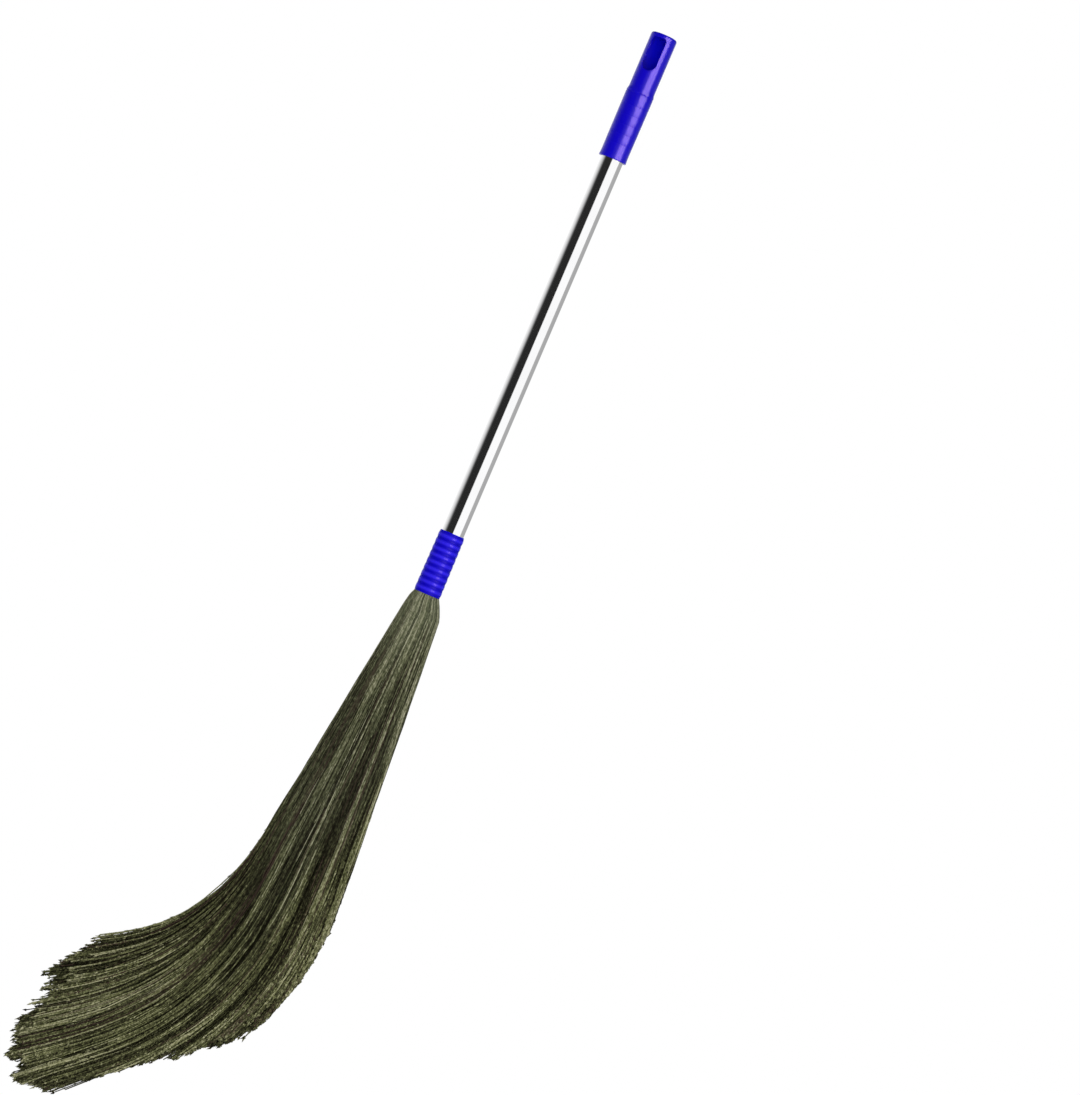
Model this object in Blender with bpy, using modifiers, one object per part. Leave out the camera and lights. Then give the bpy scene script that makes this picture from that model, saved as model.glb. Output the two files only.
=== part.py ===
"""Straw broom: a steel tube handle with a plastic grip, a ribbed collar and a swept fan of grass.

Metres, +Z up. The origin lies on the handle's axis at the upper edge of the hanging slot. The
broom hangs below it, with the fan of grass flat along X and its tips swept towards -X.
Across runs from -1 to 1 along X and deep from -1 to 1 along Y, as shares of the bundle's section.
"""

import math
import random

import bmesh
import bpy
import numpy as np
from mathutils import Vector

# Fits and cuts
FIT_GAP = 0.0003
SLEEVE_GAP = 0.0002
CUT_OVERRUN = 0.003
WELD = 0.00001
ROUND_STEPS = 32
CORNER_POINTS = 4
HALF_ROUND_POINTS = 11
SHARP_ANGLE = math.radians(40)

# Handle tube
TUBE_RADIUS = 0.0111
TUBE_WALL = 0.0008
TUBE_SHOWN = 0.3742
TUBE_BELOW_SLOT = 0.003

# Grip, whose upper barrel ends in a shoulder ring
GRIP_LENGTH = 0.1235
GRIP_WALL = 0.0013
GRIP_TOP_WALL = 0.0030
GRIP_TOP_ROUND = 0.0024
GRIP_TOP_ROUND_POINTS = 5
SHOULDER_DROP = 0.0540
SHOULDER_RISE = 0.0008
SHOULDER_SLOPE = 0.0045
SEAM_DEPTH = 0.0005
SEAM_WIDTH = 0.0014
LOWER_WALL_EXTRA = 0.0005
RIM_RISE = 0.0003
RIM_LENGTH = 0.0060
RING_COUNT = 5
RING_DEPTH = 0.0004
RING_WIDTH = 0.0012
RING_FIRST_SHARE = 0.212
RING_PITCH_SHARE = 0.158

# Hanging slot in the grip's front wall
SLOT_LAND = 0.0041
SLOT_LENGTH = 0.0325
SLOT_WIDTH = 0.0136
SLOT_CORNER = 0.0030
SLOT_TURN = math.radians(-15)

# Ribbed collar
COLLAR_LENGTH = 0.0603
COLLAR_WALL = 0.0009
COLLAR_FLARE = 0.0007
COLLAR_LIP = 0.0012
RIB_COUNT = 9
RIB_DEPTH = 0.0004
RIB_CREST_SHARE = 0.55
HEAD_BORE_STEP = 0.0002
MOUTH_RISE = 0.0030
MOUTH_CLEARANCE = 0.0005

# Wooden plug in the tube's lower end, and the nail down its middle
PLUG_STEM = 0.0300
PLUG_CHAMFER = 0.0010
FLANGE_THICKNESS = 0.0040
NAIL_RADIUS = 0.0019
NAIL_HEAD_RADIUS = 0.0042
NAIL_HEAD_THICKNESS = 0.0015
NAIL_REACH = 0.0180
NAIL_POINT = 0.0040

# Binding wires round the head of the grass
WIRE_RADIUS = 0.0004
WIRE_TURNS = 2
WIRE_TURN_GAP = 0.0005
WIRE_POINTS_A_TURN = 20
WIRE_RISE_SHARES = {"binding_wire_upper": 0.72, "binding_wire_lower": 0.32}

# Head of the grass, from inside the collar to where the strands part
HEAD_INSIDE = 0.0280
BULGE_DROP = 0.0040
BULGE_PROUD = 0.0015
PART_DROP = 0.0200
PART_OFFSET = 0.0017
PART_HALF_ACROSS = 0.0187
PART_HALF_DEEP = 0.0165

# Hanks: one in the middle and two rings round it, of equal section
CORE_SHARE = 0.25
INNER_RING_SHARE = 0.612
INNER_HANKS = 5
OUTER_HANKS = 10
CORE_SIDES = 10
CORE_STRANDS_A_RING = 6
ARC_POINTS = {"core_side": 3, "inner_side": 4, "outer_side": 3}

# Strands
STRAND_ROOT_RADIUS = 0.0005
STRAND_SIDES = 3
STRAND_GIRTH_SHARES = (1.0, 2.1, 2.3, 2.2, 0.0)
STRAND_EDGE = 0.0001
STRAND_PITCH = 0.0016
ROOT_DEPTH = 0.0015
LONGEST_STRAND = 0.6150
STATION_SHARES = (0.500, 0.690, 0.845, 1.000)
LENGTH_SHARES = (
    (-1.0, 0.780), (-0.9, 0.860), (-0.7, 0.945), (-0.2, 1.000), (0.05, 0.980),
    (0.2, 0.860), (0.4, 0.780), (0.7, 0.730), (1.0, 0.530),
)
RAGGED_SHARE = 0.06
RAGGED_SEED = 7

# How the bundle leans, fans out and sweeps towards -X
LEAN_MEAN = math.radians(2.1)
LEAN_SPREAD = math.radians(6.0)
DEEP_LEAN = math.radians(3.0)
SWEEP = math.radians(46)
SWEEP_START = 0.2760
SWEEP_RUN = 0.2940
EDGE_SWEEP = math.radians(8)
EDGE_START_SHIFT = 0.0370
EDGE_RUN_CUT = 0.0750
EDGE_POWER = 4
PATH_STEPS = 160

# Levels, down from the origin
GRIP_TOP = SLOT_LAND
SLOT_BOTTOM = -SLOT_LENGTH
TUBE_TOP = SLOT_BOTTOM - TUBE_BELOW_SLOT
GRIP_BOTTOM = GRIP_TOP - GRIP_LENGTH
COLLAR_TOP = GRIP_BOTTOM - TUBE_SHOWN
MOUTH = COLLAR_TOP - COLLAR_LENGTH
FLANGE_BOTTOM = MOUTH + HEAD_INSIDE + FIT_GAP
FLANGE_TOP = FLANGE_BOTTOM + FLANGE_THICKNESS
TUBE_BOTTOM = FLANGE_TOP + FIT_GAP
NAIL_TIP = FLANGE_BOTTOM - NAIL_REACH

# Radii that follow from the fits
BORE_RADIUS = TUBE_RADIUS + SLEEVE_GAP
BARREL_RADIUS = BORE_RADIUS + GRIP_WALL
LOWER_RADIUS = BARREL_RADIUS + LOWER_WALL_EXTRA
COLLAR_TOP_RADIUS = BORE_RADIUS + COLLAR_WALL
COLLAR_MOUTH_RADIUS = COLLAR_TOP_RADIUS + COLLAR_FLARE
HEAD_BORE_RADIUS = BORE_RADIUS + HEAD_BORE_STEP
WIRE_PATH_RADIUS = HEAD_BORE_RADIUS - FIT_GAP - WIRE_RADIUS
HEAD_RADIUS = WIRE_PATH_RADIUS - WIRE_RADIUS - FIT_GAP
BULGE_RADIUS = COLLAR_MOUTH_RADIUS + BULGE_PROUD

# Colours as linear RGB, with roughness and metallic value
FINISHES = {
    "blue_plastic": ((0.010, 0.002, 0.460), 0.35, 0.0),
    "polished_steel": ((0.780, 0.780, 0.790), 0.12, 1.0),
    "turned_wood": ((0.520, 0.330, 0.160), 0.70, 0.0),
    "bright_wire": ((0.560, 0.560, 0.570), 0.40, 1.0),
    "dry_grass": ((0.105, 0.100, 0.052), 0.80, 0.0),
}


def clear_scene():
    """Removes every object of the open scene."""
    for obj in list(bpy.data.objects):
        bpy.data.objects.remove(obj, do_unlink=True)


def new_collection(name):
    """A collection linked to the scene."""
    collection = bpy.data.collections.new(name)
    bpy.context.scene.collection.children.link(collection)
    return collection


def finish(name):
    """The Principled material of that name, made at its first use."""
    if name in bpy.data.materials:
        return bpy.data.materials[name]
    colour, roughness, metallic = FINISHES[name]
    material = bpy.data.materials.new(name)
    material.use_nodes = True
    shader = material.node_tree.nodes["Principled BSDF"]
    shader.inputs["Base Color"].default_value = (*colour, 1)
    shader.inputs["Roughness"].default_value = roughness
    shader.inputs["Metallic"].default_value = metallic
    material.diffuse_color = (*colour, 1)
    return material


def add_piece(name, data, finish_name, level, parent, collection):
    """An object for one sub-part, placed at its level on the handle's axis."""
    data.materials.append(finish(finish_name))
    piece = bpy.data.objects.new(name, data)
    piece.location.z = level
    piece.parent = parent
    collection.objects.link(piece)
    return piece


def add_helper(name, data, level, parent, collection):
    """An object that only cuts or joins, kept out of renders."""
    helper = bpy.data.objects.new(name, data)
    helper.location.z = level
    helper.parent = parent
    helper.display_type = "WIRE"
    helper.hide_render = True
    collection.objects.link(helper)
    return helper


def solid_mesh(source):
    """The evaluated shape of an object as one welded mesh. The object is removed."""
    bpy.context.view_layer.update()
    evaluated = source.evaluated_get(bpy.context.evaluated_depsgraph_get())
    mesh = bpy.data.meshes.new_from_object(evaluated)
    welded = bmesh.new()
    welded.from_mesh(mesh)
    bmesh.ops.remove_doubles(welded, verts=welded.verts, dist=WELD)
    bmesh.ops.recalc_face_normals(welded, faces=welded.faces)
    welded.to_mesh(mesh)
    welded.free()
    mesh.shade_smooth()
    mesh.set_sharp_from_angle(angle=SHARP_ANGLE)
    bpy.data.objects.remove(source, do_unlink=True)
    return mesh


def turned_mesh(name, profile, helpers):
    """A profile of (radius, height) points at +X, turned round the Z axis."""
    outline = bpy.data.meshes.new(name)
    points = [(radius, 0, height) for radius, height in profile]
    outline.from_pydata(points, [(i, i + 1) for i in range(len(points) - 1)], [])
    source = bpy.data.objects.new(name, outline)
    helpers.objects.link(source)
    screw = source.modifiers.new("turn", "SCREW")
    screw.axis = "Z"
    screw.angle = math.tau
    screw.steps = ROUND_STEPS
    screw.render_steps = ROUND_STEPS
    screw.use_merge_vertices = True
    screw.merge_threshold = WELD
    return solid_mesh(source)


def combine(piece, other, operation):
    """Cuts the other object from the piece, or joins it to the piece."""
    boolean = piece.modifiers.new(operation.lower(), "BOOLEAN")
    boolean.operation = operation
    boolean.solver = "EXACT"
    boolean.object = other


def closed_profile(profile):
    """The profile with its first point again at the end, for a ring that misses the axis."""
    return profile + profile[:1]


def arc(centre_radius, centre_height, size, start, end, count):
    """Points of a rounded corner in a profile, from one angle to another."""
    angles = (start + (end - start) * i / (count - 1) for i in range(count))
    return [
        (centre_radius + size * math.cos(a), centre_height + size * math.sin(a)) for a in angles
    ]


def slot_outline():
    """The slot seen from the front, with small upper corners and a round lower end."""
    half = SLOT_WIDTH / 2
    upper = arc(half - SLOT_CORNER, -SLOT_CORNER, SLOT_CORNER, 0, math.pi / 2, CORNER_POINTS)
    lower = arc(0, half - SLOT_LENGTH, half, math.pi, math.tau, HALF_ROUND_POINTS)
    mirrored = [(-x, z) for x, z in reversed(upper)]
    return upper + mirrored + lower


def slot_cutter(parent, helpers):
    """A prism of the slot's outline, from the handle's axis out through the front wall."""
    reach = LOWER_RADIUS + SHOULDER_RISE + CUT_OVERRUN
    shape = bmesh.new()
    face = shape.faces.new([shape.verts.new((x, 0, z)) for x, z in slot_outline()])
    moved = bmesh.ops.extrude_face_region(shape, geom=[face])["geom"]
    bmesh.ops.translate(
        shape, vec=(0, -reach, 0), verts=[v for v in moved if isinstance(v, bmesh.types.BMVert)]
    )
    bmesh.ops.recalc_face_normals(shape, faces=shape.faces)
    mesh = bpy.data.meshes.new("slot_cutter")
    shape.to_mesh(mesh)
    shape.free()
    cutter = add_helper("slot_cutter", mesh, 0, parent, helpers)
    cutter.rotation_euler.z = SLOT_TURN
    return cutter


def seam_points():
    """Points of the groove that parts the shoulder ring from the lower barrel."""
    top = SHOULDER_DROP + SHOULDER_SLOPE
    radius = BARREL_RADIUS + SHOULDER_RISE
    return [(radius, -top), (radius - SEAM_DEPTH, -top - SEAM_WIDTH / 2), (radius, -top - SEAM_WIDTH)]


def ring_points():
    """Points of the fine grooves round the grip's lower barrel, which narrows towards its rim."""
    top = SHOULDER_DROP + SHOULDER_SLOPE
    run = GRIP_LENGTH - RIM_LENGTH - top
    points = []
    for i in range(RING_COUNT):
        share = RING_FIRST_SHARE + RING_PITCH_SHARE * i
        radius = BARREL_RADIUS + SHOULDER_RISE + (LOWER_WALL_EXTRA - SHOULDER_RISE) * share
        drop = top + run * share
        points.append((radius, -drop))
        points.append((radius - RING_DEPTH, -drop - RING_WIDTH / 2))
        points.append((radius, -drop - RING_WIDTH))
    return points


def make_grip(parent, parts, helpers):
    """The moulded grip: a cap over the tube's end, hollow up to its top wall."""
    rim_radius = LOWER_RADIUS + RIM_RISE
    centre = BARREL_RADIUS - GRIP_TOP_ROUND
    profile = [(0, 0)]
    profile += arc(
        centre, -GRIP_TOP_ROUND, GRIP_TOP_ROUND, math.pi / 2, 0, GRIP_TOP_ROUND_POINTS
    )
    profile += [(BARREL_RADIUS, -SHOULDER_DROP)] + seam_points() + ring_points()
    profile += [
        (LOWER_RADIUS, -GRIP_LENGTH + RIM_LENGTH),
        (rim_radius, -GRIP_LENGTH + RIM_RISE),
        (rim_radius - RIM_RISE, -GRIP_LENGTH),
        (BORE_RADIUS, -GRIP_LENGTH),
        (BORE_RADIUS, -GRIP_TOP_WALL),
        (0, -GRIP_TOP_WALL),
    ]
    shell = turned_mesh("grip", profile, helpers)
    grip = add_piece("grip", shell, "blue_plastic", GRIP_TOP, parent, parts)
    combine(grip, slot_cutter(parent, helpers), "DIFFERENCE")


def make_tube(parent, parts, helpers):
    """The steel tube, open at both ends."""
    length = TUBE_TOP - TUBE_BOTTOM
    inner = TUBE_RADIUS - TUBE_WALL
    profile = closed_profile([(TUBE_RADIUS, 0), (TUBE_RADIUS, -length), (inner, -length), (inner, 0)])
    tube = turned_mesh("handle_tube", profile, helpers)
    add_piece("handle_tube", tube, "polished_steel", TUBE_TOP, parent, parts)


def collar_radius_at(drop):
    """Radius of the collar's rib crests, which widen towards the mouth."""
    return COLLAR_TOP_RADIUS + COLLAR_FLARE * drop / COLLAR_LENGTH


def rib_points():
    """Points of the collar's rounded ribs and the grooves between them."""
    pitch = (COLLAR_LENGTH - 2 * COLLAR_LIP) / RIB_COUNT
    crest = pitch * RIB_CREST_SHARE
    points = []
    for i in range(RIB_COUNT):
        top = COLLAR_LIP + pitch * i
        bottom = top + crest
        points.append((collar_radius_at(top), -top))
        points.append((collar_radius_at(bottom), -bottom))
        if i < RIB_COUNT - 1:
            groove = bottom + (pitch - crest) / 2
            points.append((collar_radius_at(groove) - RIB_DEPTH, -groove))
    return points


def mouth_radius():
    """Inner radius of the collar at its mouth, clear of the grass that widens through it."""
    share = MOUTH_RISE / (MOUTH_RISE + BULGE_DROP)
    return HEAD_RADIUS + (BULGE_RADIUS - HEAD_RADIUS) * share + MOUTH_CLEARANCE


def make_collar(parent, parts, helpers):
    """The ribbed collar, gripping the tube above and the head of the grass below."""
    step = COLLAR_TOP - TUBE_BOTTOM
    profile = closed_profile(
        [(COLLAR_TOP_RADIUS - COLLAR_LIP / 2, 0)]
        + rib_points()
        + [
            (COLLAR_MOUTH_RADIUS, -COLLAR_LENGTH),
            (mouth_radius(), -COLLAR_LENGTH),
            (HEAD_BORE_RADIUS, -COLLAR_LENGTH + MOUTH_RISE),
            (HEAD_BORE_RADIUS, -step),
            (BORE_RADIUS, -step),
            (BORE_RADIUS, 0),
        ]
    )
    collar = turned_mesh("collar", profile, helpers)
    add_piece("collar", collar, "blue_plastic", COLLAR_TOP, parent, parts)


def make_plug(parent, parts, helpers):
    """The wooden plug: a stem in the tube and a flange between the tube's end and the grass."""
    stem = TUBE_RADIUS - TUBE_WALL - FIT_GAP
    flange = HEAD_BORE_RADIUS - FIT_GAP
    bore = NAIL_RADIUS + FIT_GAP
    profile = closed_profile(
        [
            (stem - PLUG_CHAMFER, PLUG_STEM),
            (stem, PLUG_STEM - PLUG_CHAMFER),
            (stem, 0),
            (flange, 0),
            (flange, -FLANGE_THICKNESS),
            (bore, -FLANGE_THICKNESS),
            (bore, PLUG_STEM),
        ]
    )
    plug = turned_mesh("tube_plug", profile, helpers)
    add_piece("tube_plug", plug, "turned_wood", FLANGE_TOP, parent, parts)


def make_nail(parent, parts, helpers):
    """The nail down the plug's middle, which spikes the head of the grass."""
    shank = PLUG_STEM + FIT_GAP + FLANGE_TOP - NAIL_TIP
    profile = [
        (0, NAIL_HEAD_THICKNESS),
        (NAIL_HEAD_RADIUS, NAIL_HEAD_THICKNESS),
        (NAIL_HEAD_RADIUS, 0),
        (NAIL_RADIUS, 0),
        (NAIL_RADIUS, NAIL_POINT - shank),
        (0, -shank),
    ]
    nail = turned_mesh("centre_nail", profile, helpers)
    level = FLANGE_TOP + PLUG_STEM + FIT_GAP
    add_piece("centre_nail", nail, "bright_wire", level, parent, parts)


def wire_points():
    """Points along a binding wire, wound evenly round the head of the grass."""
    pitch = 2 * WIRE_RADIUS + WIRE_TURN_GAP
    count = WIRE_TURNS * WIRE_POINTS_A_TURN
    points = []
    for i in range(count + 1):
        turns = i / WIRE_POINTS_A_TURN
        angle = math.tau * turns
        height = pitch * (turns - WIRE_TURNS / 2)
        points.append(
            Vector((WIRE_PATH_RADIUS * math.cos(angle), WIRE_PATH_RADIUS * math.sin(angle), height))
        )
    return points


def least_wire_gap(points):
    """Least clear distance between points of the wire that are over a quarter turn apart."""
    apart = WIRE_POINTS_A_TURN // 4
    nearest = min(
        (a - b).length for i, a in enumerate(points) for b in points[i + apart:]
    )
    return nearest - 2 * WIRE_RADIUS


def make_wire(name, rise, parent, parts):
    """One binding wire, as an unbroken tube along its turns."""
    points = wire_points()
    data = bpy.data.curves.new(name, "CURVE")
    data.dimensions = "3D"
    data.bevel_depth = WIRE_RADIUS
    data.bevel_resolution = 1
    data.use_fill_caps = True
    spline = data.splines.new("POLY")
    spline.points.add(len(points) - 1)
    for target, point in zip(spline.points, points):
        target.co = (*point, 1)
    add_piece(name, data, "bright_wire", MOUTH + rise, parent, parts)
    print(f"{name}: least gap to itself {least_wire_gap(points):.5f} m")


def strand_angle(run, across):
    """Angle of a strand from straight down towards -X, at a run along it from the mouth."""
    edge = max(0.0, -across) ** EDGE_POWER
    start = SWEEP_START - EDGE_START_SHIFT * edge
    share = np.clip((run - start) / (SWEEP_RUN - EDGE_RUN_CUT * edge), 0, 1)
    eased = share * share * (3 - 2 * share)
    return LEAN_MEAN - LEAN_SPREAD * across + (SWEEP + EDGE_SWEEP * edge) * eased


def strand_point(across, deep, run):
    """Middle of a strand at a run along it, below the mouth where the strands have parted."""
    step = (run - PART_DROP) / PATH_STEPS
    angles = strand_angle(PART_DROP + step * (np.arange(PATH_STEPS) + 0.5), across)
    x = PART_OFFSET + PART_HALF_ACROSS * across - np.sum(np.sin(angles)) * step
    z = -PART_DROP - np.sum(np.cos(angles)) * step
    y = deep * (PART_HALF_DEEP + (run - PART_DROP) * math.tan(DEEP_LEAN))
    return Vector((x, y, z))


def strand_length(across, wear):
    """Length of a strand from the mouth to its tip."""
    places, shares = zip(*LENGTH_SHARES)
    return LONGEST_STRAND * float(np.interp(across, places, shares)) * (1 - RAGGED_SHARE * wear)


def strand_line(across, deep, wear):
    """(point, thickness share) pairs down a strand: its root in the hank, stations and tip.

    Every strand has the same stations, and its tip lies on the straight line between two of
    them, so that neighbours of unlike length never cross."""
    upper = head_point(across, deep, "bulge")
    parting = strand_point(across, deep, PART_DROP)
    into_head = ROOT_DEPTH / (PART_DROP - BULGE_DROP)
    line = [(parting.lerp(upper, into_head), STRAND_GIRTH_SHARES[0])]
    length = strand_length(across, wear)
    above, above_run = parting, PART_DROP
    for station, girth in zip(STATION_SHARES, STRAND_GIRTH_SHARES[1:]):
        run = LONGEST_STRAND * station
        below = strand_point(across, deep, run)
        if run >= length:
            share = (length - above_run) / (run - above_run)
            line.append((above.lerp(below, share), STRAND_GIRTH_SHARES[-1]))
            break
        line.append((below, girth))
        above, above_run = below, run
    return line


def head_sections(top):
    """(height, offset, half across, half deep) of the bundle from its top to where strands part."""
    return {
        "top": (top, 0, HEAD_RADIUS, HEAD_RADIUS),
        "throat": (MOUTH_RISE, 0, HEAD_RADIUS, HEAD_RADIUS),
        "bulge": (-BULGE_DROP, 0, BULGE_RADIUS, BULGE_RADIUS),
        "parting": (-PART_DROP, PART_OFFSET, PART_HALF_ACROSS, PART_HALF_DEEP),
    }


def head_point(across, deep, section, top=HEAD_INSIDE):
    """A point of one named section of the head."""
    height, offset, half_across, half_deep = head_sections(top)[section]
    return Vector((offset + half_across * across, half_deep * deep, height))


def ring_arc(radius, start, end, count):
    """Evenly spaced (across, deep) points on a part circle."""
    angles = [start + (end - start) * i / (count - 1) for i in range(count)]
    return [(radius * math.cos(a), radius * math.sin(a)) for a in angles]


def core_outline():
    """(across, deep) outline of the middle hank."""
    radius = CORE_SHARE - FIT_GAP / 2 / HEAD_RADIUS
    return ring_arc(radius, 0, math.tau * (1 - 1 / CORE_SIDES), CORE_SIDES)


def sector_outline(inner, outer, start, end, inner_points, outer_points):
    """(across, deep) outline of a hank in a ring, half a gap inside its bounds."""
    half_gap = FIT_GAP / 2 / HEAD_RADIUS
    low, high = inner + half_gap, outer - half_gap * (outer < 1)
    outside = ring_arc(high, start + half_gap / high, end - half_gap / high, outer_points)
    inside = ring_arc(low, end - half_gap / low, start + half_gap / low, inner_points)
    return outside + inside


def root_margin():
    """How far a strand's root stays inside its hank's bounds, as a share of the bundle."""
    return FIT_GAP / 2 / HEAD_RADIUS + (STRAND_ROOT_RADIUS + STRAND_EDGE) / PART_HALF_DEEP


def intervals(length):
    """How many pitches of strands fit in a length that is a share of the bundle."""
    return max(1, round(length * PART_HALF_DEEP / STRAND_PITCH))


def root_rows(inner, outer, start, end):
    """(across, deep) places of a hank's strands, in rows that keep an even pitch."""
    margin = root_margin()
    low, high = inner + margin, outer - margin
    rows = intervals(high - low)
    places = []
    for row in range(rows + 1):
        radius = low + (high - low) * row / rows
        first, last = start + margin / radius, end - margin / radius
        places += ring_arc(radius, first, last, intervals((last - first) * radius) + 1)
    return places


def core_roots():
    """(across, deep) places of the middle hank's strands, in rings round the first."""
    high = CORE_SHARE - root_margin()
    rings = intervals(high)
    places = [(0, 0)]
    for ring in range(1, rings + 1):
        count = CORE_STRANDS_A_RING * ring
        places += ring_arc(high * ring / rings, 0, math.tau * (1 - 1 / count), count)
    return places


def loft_mesh(name, outline, top):
    """The solid head of a hank: its outline carried through the bundle's sections."""
    shape = bmesh.new()
    rings = [
        [shape.verts.new(head_point(across, deep, section, top)) for across, deep in outline]
        for section in head_sections(top)
    ]
    count = len(outline)
    for upper, lower in zip(rings, rings[1:]):
        for i in range(count):
            j = (i + 1) % count
            shape.faces.new((upper[i], upper[j], lower[j], lower[i]))
    shape.faces.new(rings[0])
    shape.faces.new(reversed(rings[-1]))
    bmesh.ops.recalc_face_normals(shape, faces=shape.faces)
    mesh = bpy.data.meshes.new(name)
    shape.to_mesh(mesh)
    shape.free()
    return mesh


def strand_section(helpers):
    """The section that every strand's curve is given."""
    data = bpy.data.curves.new("strand_section", "CURVE")
    spline = data.splines.new("POLY")
    spline.points.add(STRAND_SIDES - 1)
    for i, point in enumerate(spline.points):
        angle = math.tau * i / STRAND_SIDES
        point.co = (STRAND_ROOT_RADIUS * math.cos(angle), STRAND_ROOT_RADIUS * math.sin(angle), 0, 1)
    spline.use_cyclic_u = True
    section = bpy.data.objects.new("strand_section", data)
    section.hide_render = True
    helpers.objects.link(section)
    return section


def strands_mesh(name, roots, wear, section, helpers):
    """The strands of one hank as a mesh, each a closed tube that ends in a point."""
    data = bpy.data.curves.new(name, "CURVE")
    data.dimensions = "3D"
    data.bevel_mode = "OBJECT"
    data.bevel_object = section
    data.use_fill_caps = True
    for across, deep in roots:
        line = strand_line(across, deep, wear.random())
        spline = data.splines.new("POLY")
        spline.points.add(len(line) - 1)
        for target, (point, thickness) in zip(spline.points, line):
            target.co = (*point, 1)
            target.radius = thickness
    curve = bpy.data.objects.new(name, data)
    helpers.objects.link(curve)
    return solid_mesh(curve)


def hank_plans():
    """(outline, root places, top) of every hank, middle first, then the inner and outer ring."""
    plans = [(core_outline(), core_roots(), HEAD_INSIDE - NAIL_REACH)]
    rings = (
        (CORE_SHARE, INNER_RING_SHARE, INNER_HANKS, "core_side", "inner_side"),
        (INNER_RING_SHARE, 1, OUTER_HANKS, "outer_side", "outer_side"),
    )
    for inner, outer, hanks, inner_side, outer_side in rings:
        for i in range(hanks):
            start, end = math.tau * i / hanks, math.tau * (i + 1) / hanks
            outline = sector_outline(
                inner, outer, start, end, ARC_POINTS[inner_side], ARC_POINTS[outer_side]
            )
            plans.append((outline, root_rows(inner, outer, start, end), HEAD_INSIDE))
    return plans


def make_grass(parent, parts, helpers):
    """The hanks of grass, each a slice of the bound head with its strands."""
    section = strand_section(helpers)
    wear = random.Random(RAGGED_SEED)
    total = 0
    for i, (outline, roots, top) in enumerate(hank_plans()):
        name = f"grass_hank_{i + 1:02d}"
        hank = add_piece(name, loft_mesh(name, outline, top), "dry_grass", MOUTH, parent, parts)
        strands = strands_mesh(f"strands_{i + 1:02d}", roots, wear, section, helpers)
        joined = add_helper(f"strands_{i + 1:02d}", strands, MOUTH, parent, helpers)
        combine(hank, joined, "UNION")
        total += len(roots)
    print(f"strands: {total}")


def main():
    """Builds the broom."""
    clear_scene()
    parts = new_collection("straw_broom")
    helpers = new_collection("cutters")
    axis = bpy.data.objects.new("handle_axis", None)
    parts.objects.link(axis)
    make_grip(axis, parts, helpers)
    make_tube(axis, parts, helpers)
    make_collar(axis, parts, helpers)
    make_plug(axis, parts, helpers)
    make_nail(axis, parts, helpers)
    for name, share in WIRE_RISE_SHARES.items():
        make_wire(name, HEAD_INSIDE * share, axis, parts)
    make_grass(axis, parts, helpers)


main()
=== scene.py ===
"""Straw broom, dressed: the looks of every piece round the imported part, the studio and the camera.

Metres, +Z up. The origin lies on the handle's axis at the upper edge of the hanging slot. Across runs
from -1 to 1 along X and deep from -1 to 1 along Y, as shares of the bundle of grass.
"""

import logging
import math
from collections.abc import Callable, Mapping, Sequence
from dataclasses import dataclass, field, fields
from enum import Enum
from types import SimpleNamespace

import bmesh
import bpy
from mathutils import Matrix, Vector
from mathutils.geometry import delaunay_2d_cdt


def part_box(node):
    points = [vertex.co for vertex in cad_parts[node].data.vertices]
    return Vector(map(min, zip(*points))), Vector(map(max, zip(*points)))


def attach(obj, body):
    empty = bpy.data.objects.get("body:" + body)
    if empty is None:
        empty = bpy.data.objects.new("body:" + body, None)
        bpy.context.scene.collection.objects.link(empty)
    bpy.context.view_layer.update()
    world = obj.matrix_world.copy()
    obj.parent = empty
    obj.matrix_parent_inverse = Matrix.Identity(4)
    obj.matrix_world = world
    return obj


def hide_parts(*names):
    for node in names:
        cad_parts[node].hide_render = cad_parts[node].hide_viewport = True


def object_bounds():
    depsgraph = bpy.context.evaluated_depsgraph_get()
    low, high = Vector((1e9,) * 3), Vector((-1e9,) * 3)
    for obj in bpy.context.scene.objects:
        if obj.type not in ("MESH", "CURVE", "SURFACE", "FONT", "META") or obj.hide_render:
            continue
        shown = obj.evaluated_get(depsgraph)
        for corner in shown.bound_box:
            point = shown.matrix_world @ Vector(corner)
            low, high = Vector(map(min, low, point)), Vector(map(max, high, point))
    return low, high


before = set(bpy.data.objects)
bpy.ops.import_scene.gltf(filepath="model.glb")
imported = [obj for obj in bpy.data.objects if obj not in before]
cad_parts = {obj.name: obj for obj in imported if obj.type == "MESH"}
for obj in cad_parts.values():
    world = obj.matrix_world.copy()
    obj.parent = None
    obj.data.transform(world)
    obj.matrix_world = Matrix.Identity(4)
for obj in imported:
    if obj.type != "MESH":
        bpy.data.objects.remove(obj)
cad_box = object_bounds()

log = logging.getLogger("straw_broom")
WELD = 0.000002
FLAT_WELD = 0.0000001

Colour = tuple[float, float, float]
Profile = list[tuple[float, float]]
Curve = tuple[tuple[float, float], ...]
Ramp = tuple[tuple[float, Colour], ...]


class Body(Enum):
    """The bodies that pieces ride on."""

    ROOT = "root"


class Slot(Enum):
    """The record's material slots."""

    GRIP = "grip_plastic"
    TUBE = "tube_steel"
    COLLAR = "collar_plastic"
    PLUG = "plug_wood"
    NAIL = "nail_steel"
    BINDING = "binding_steel"
    GRASS = "dry_grass"


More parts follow.
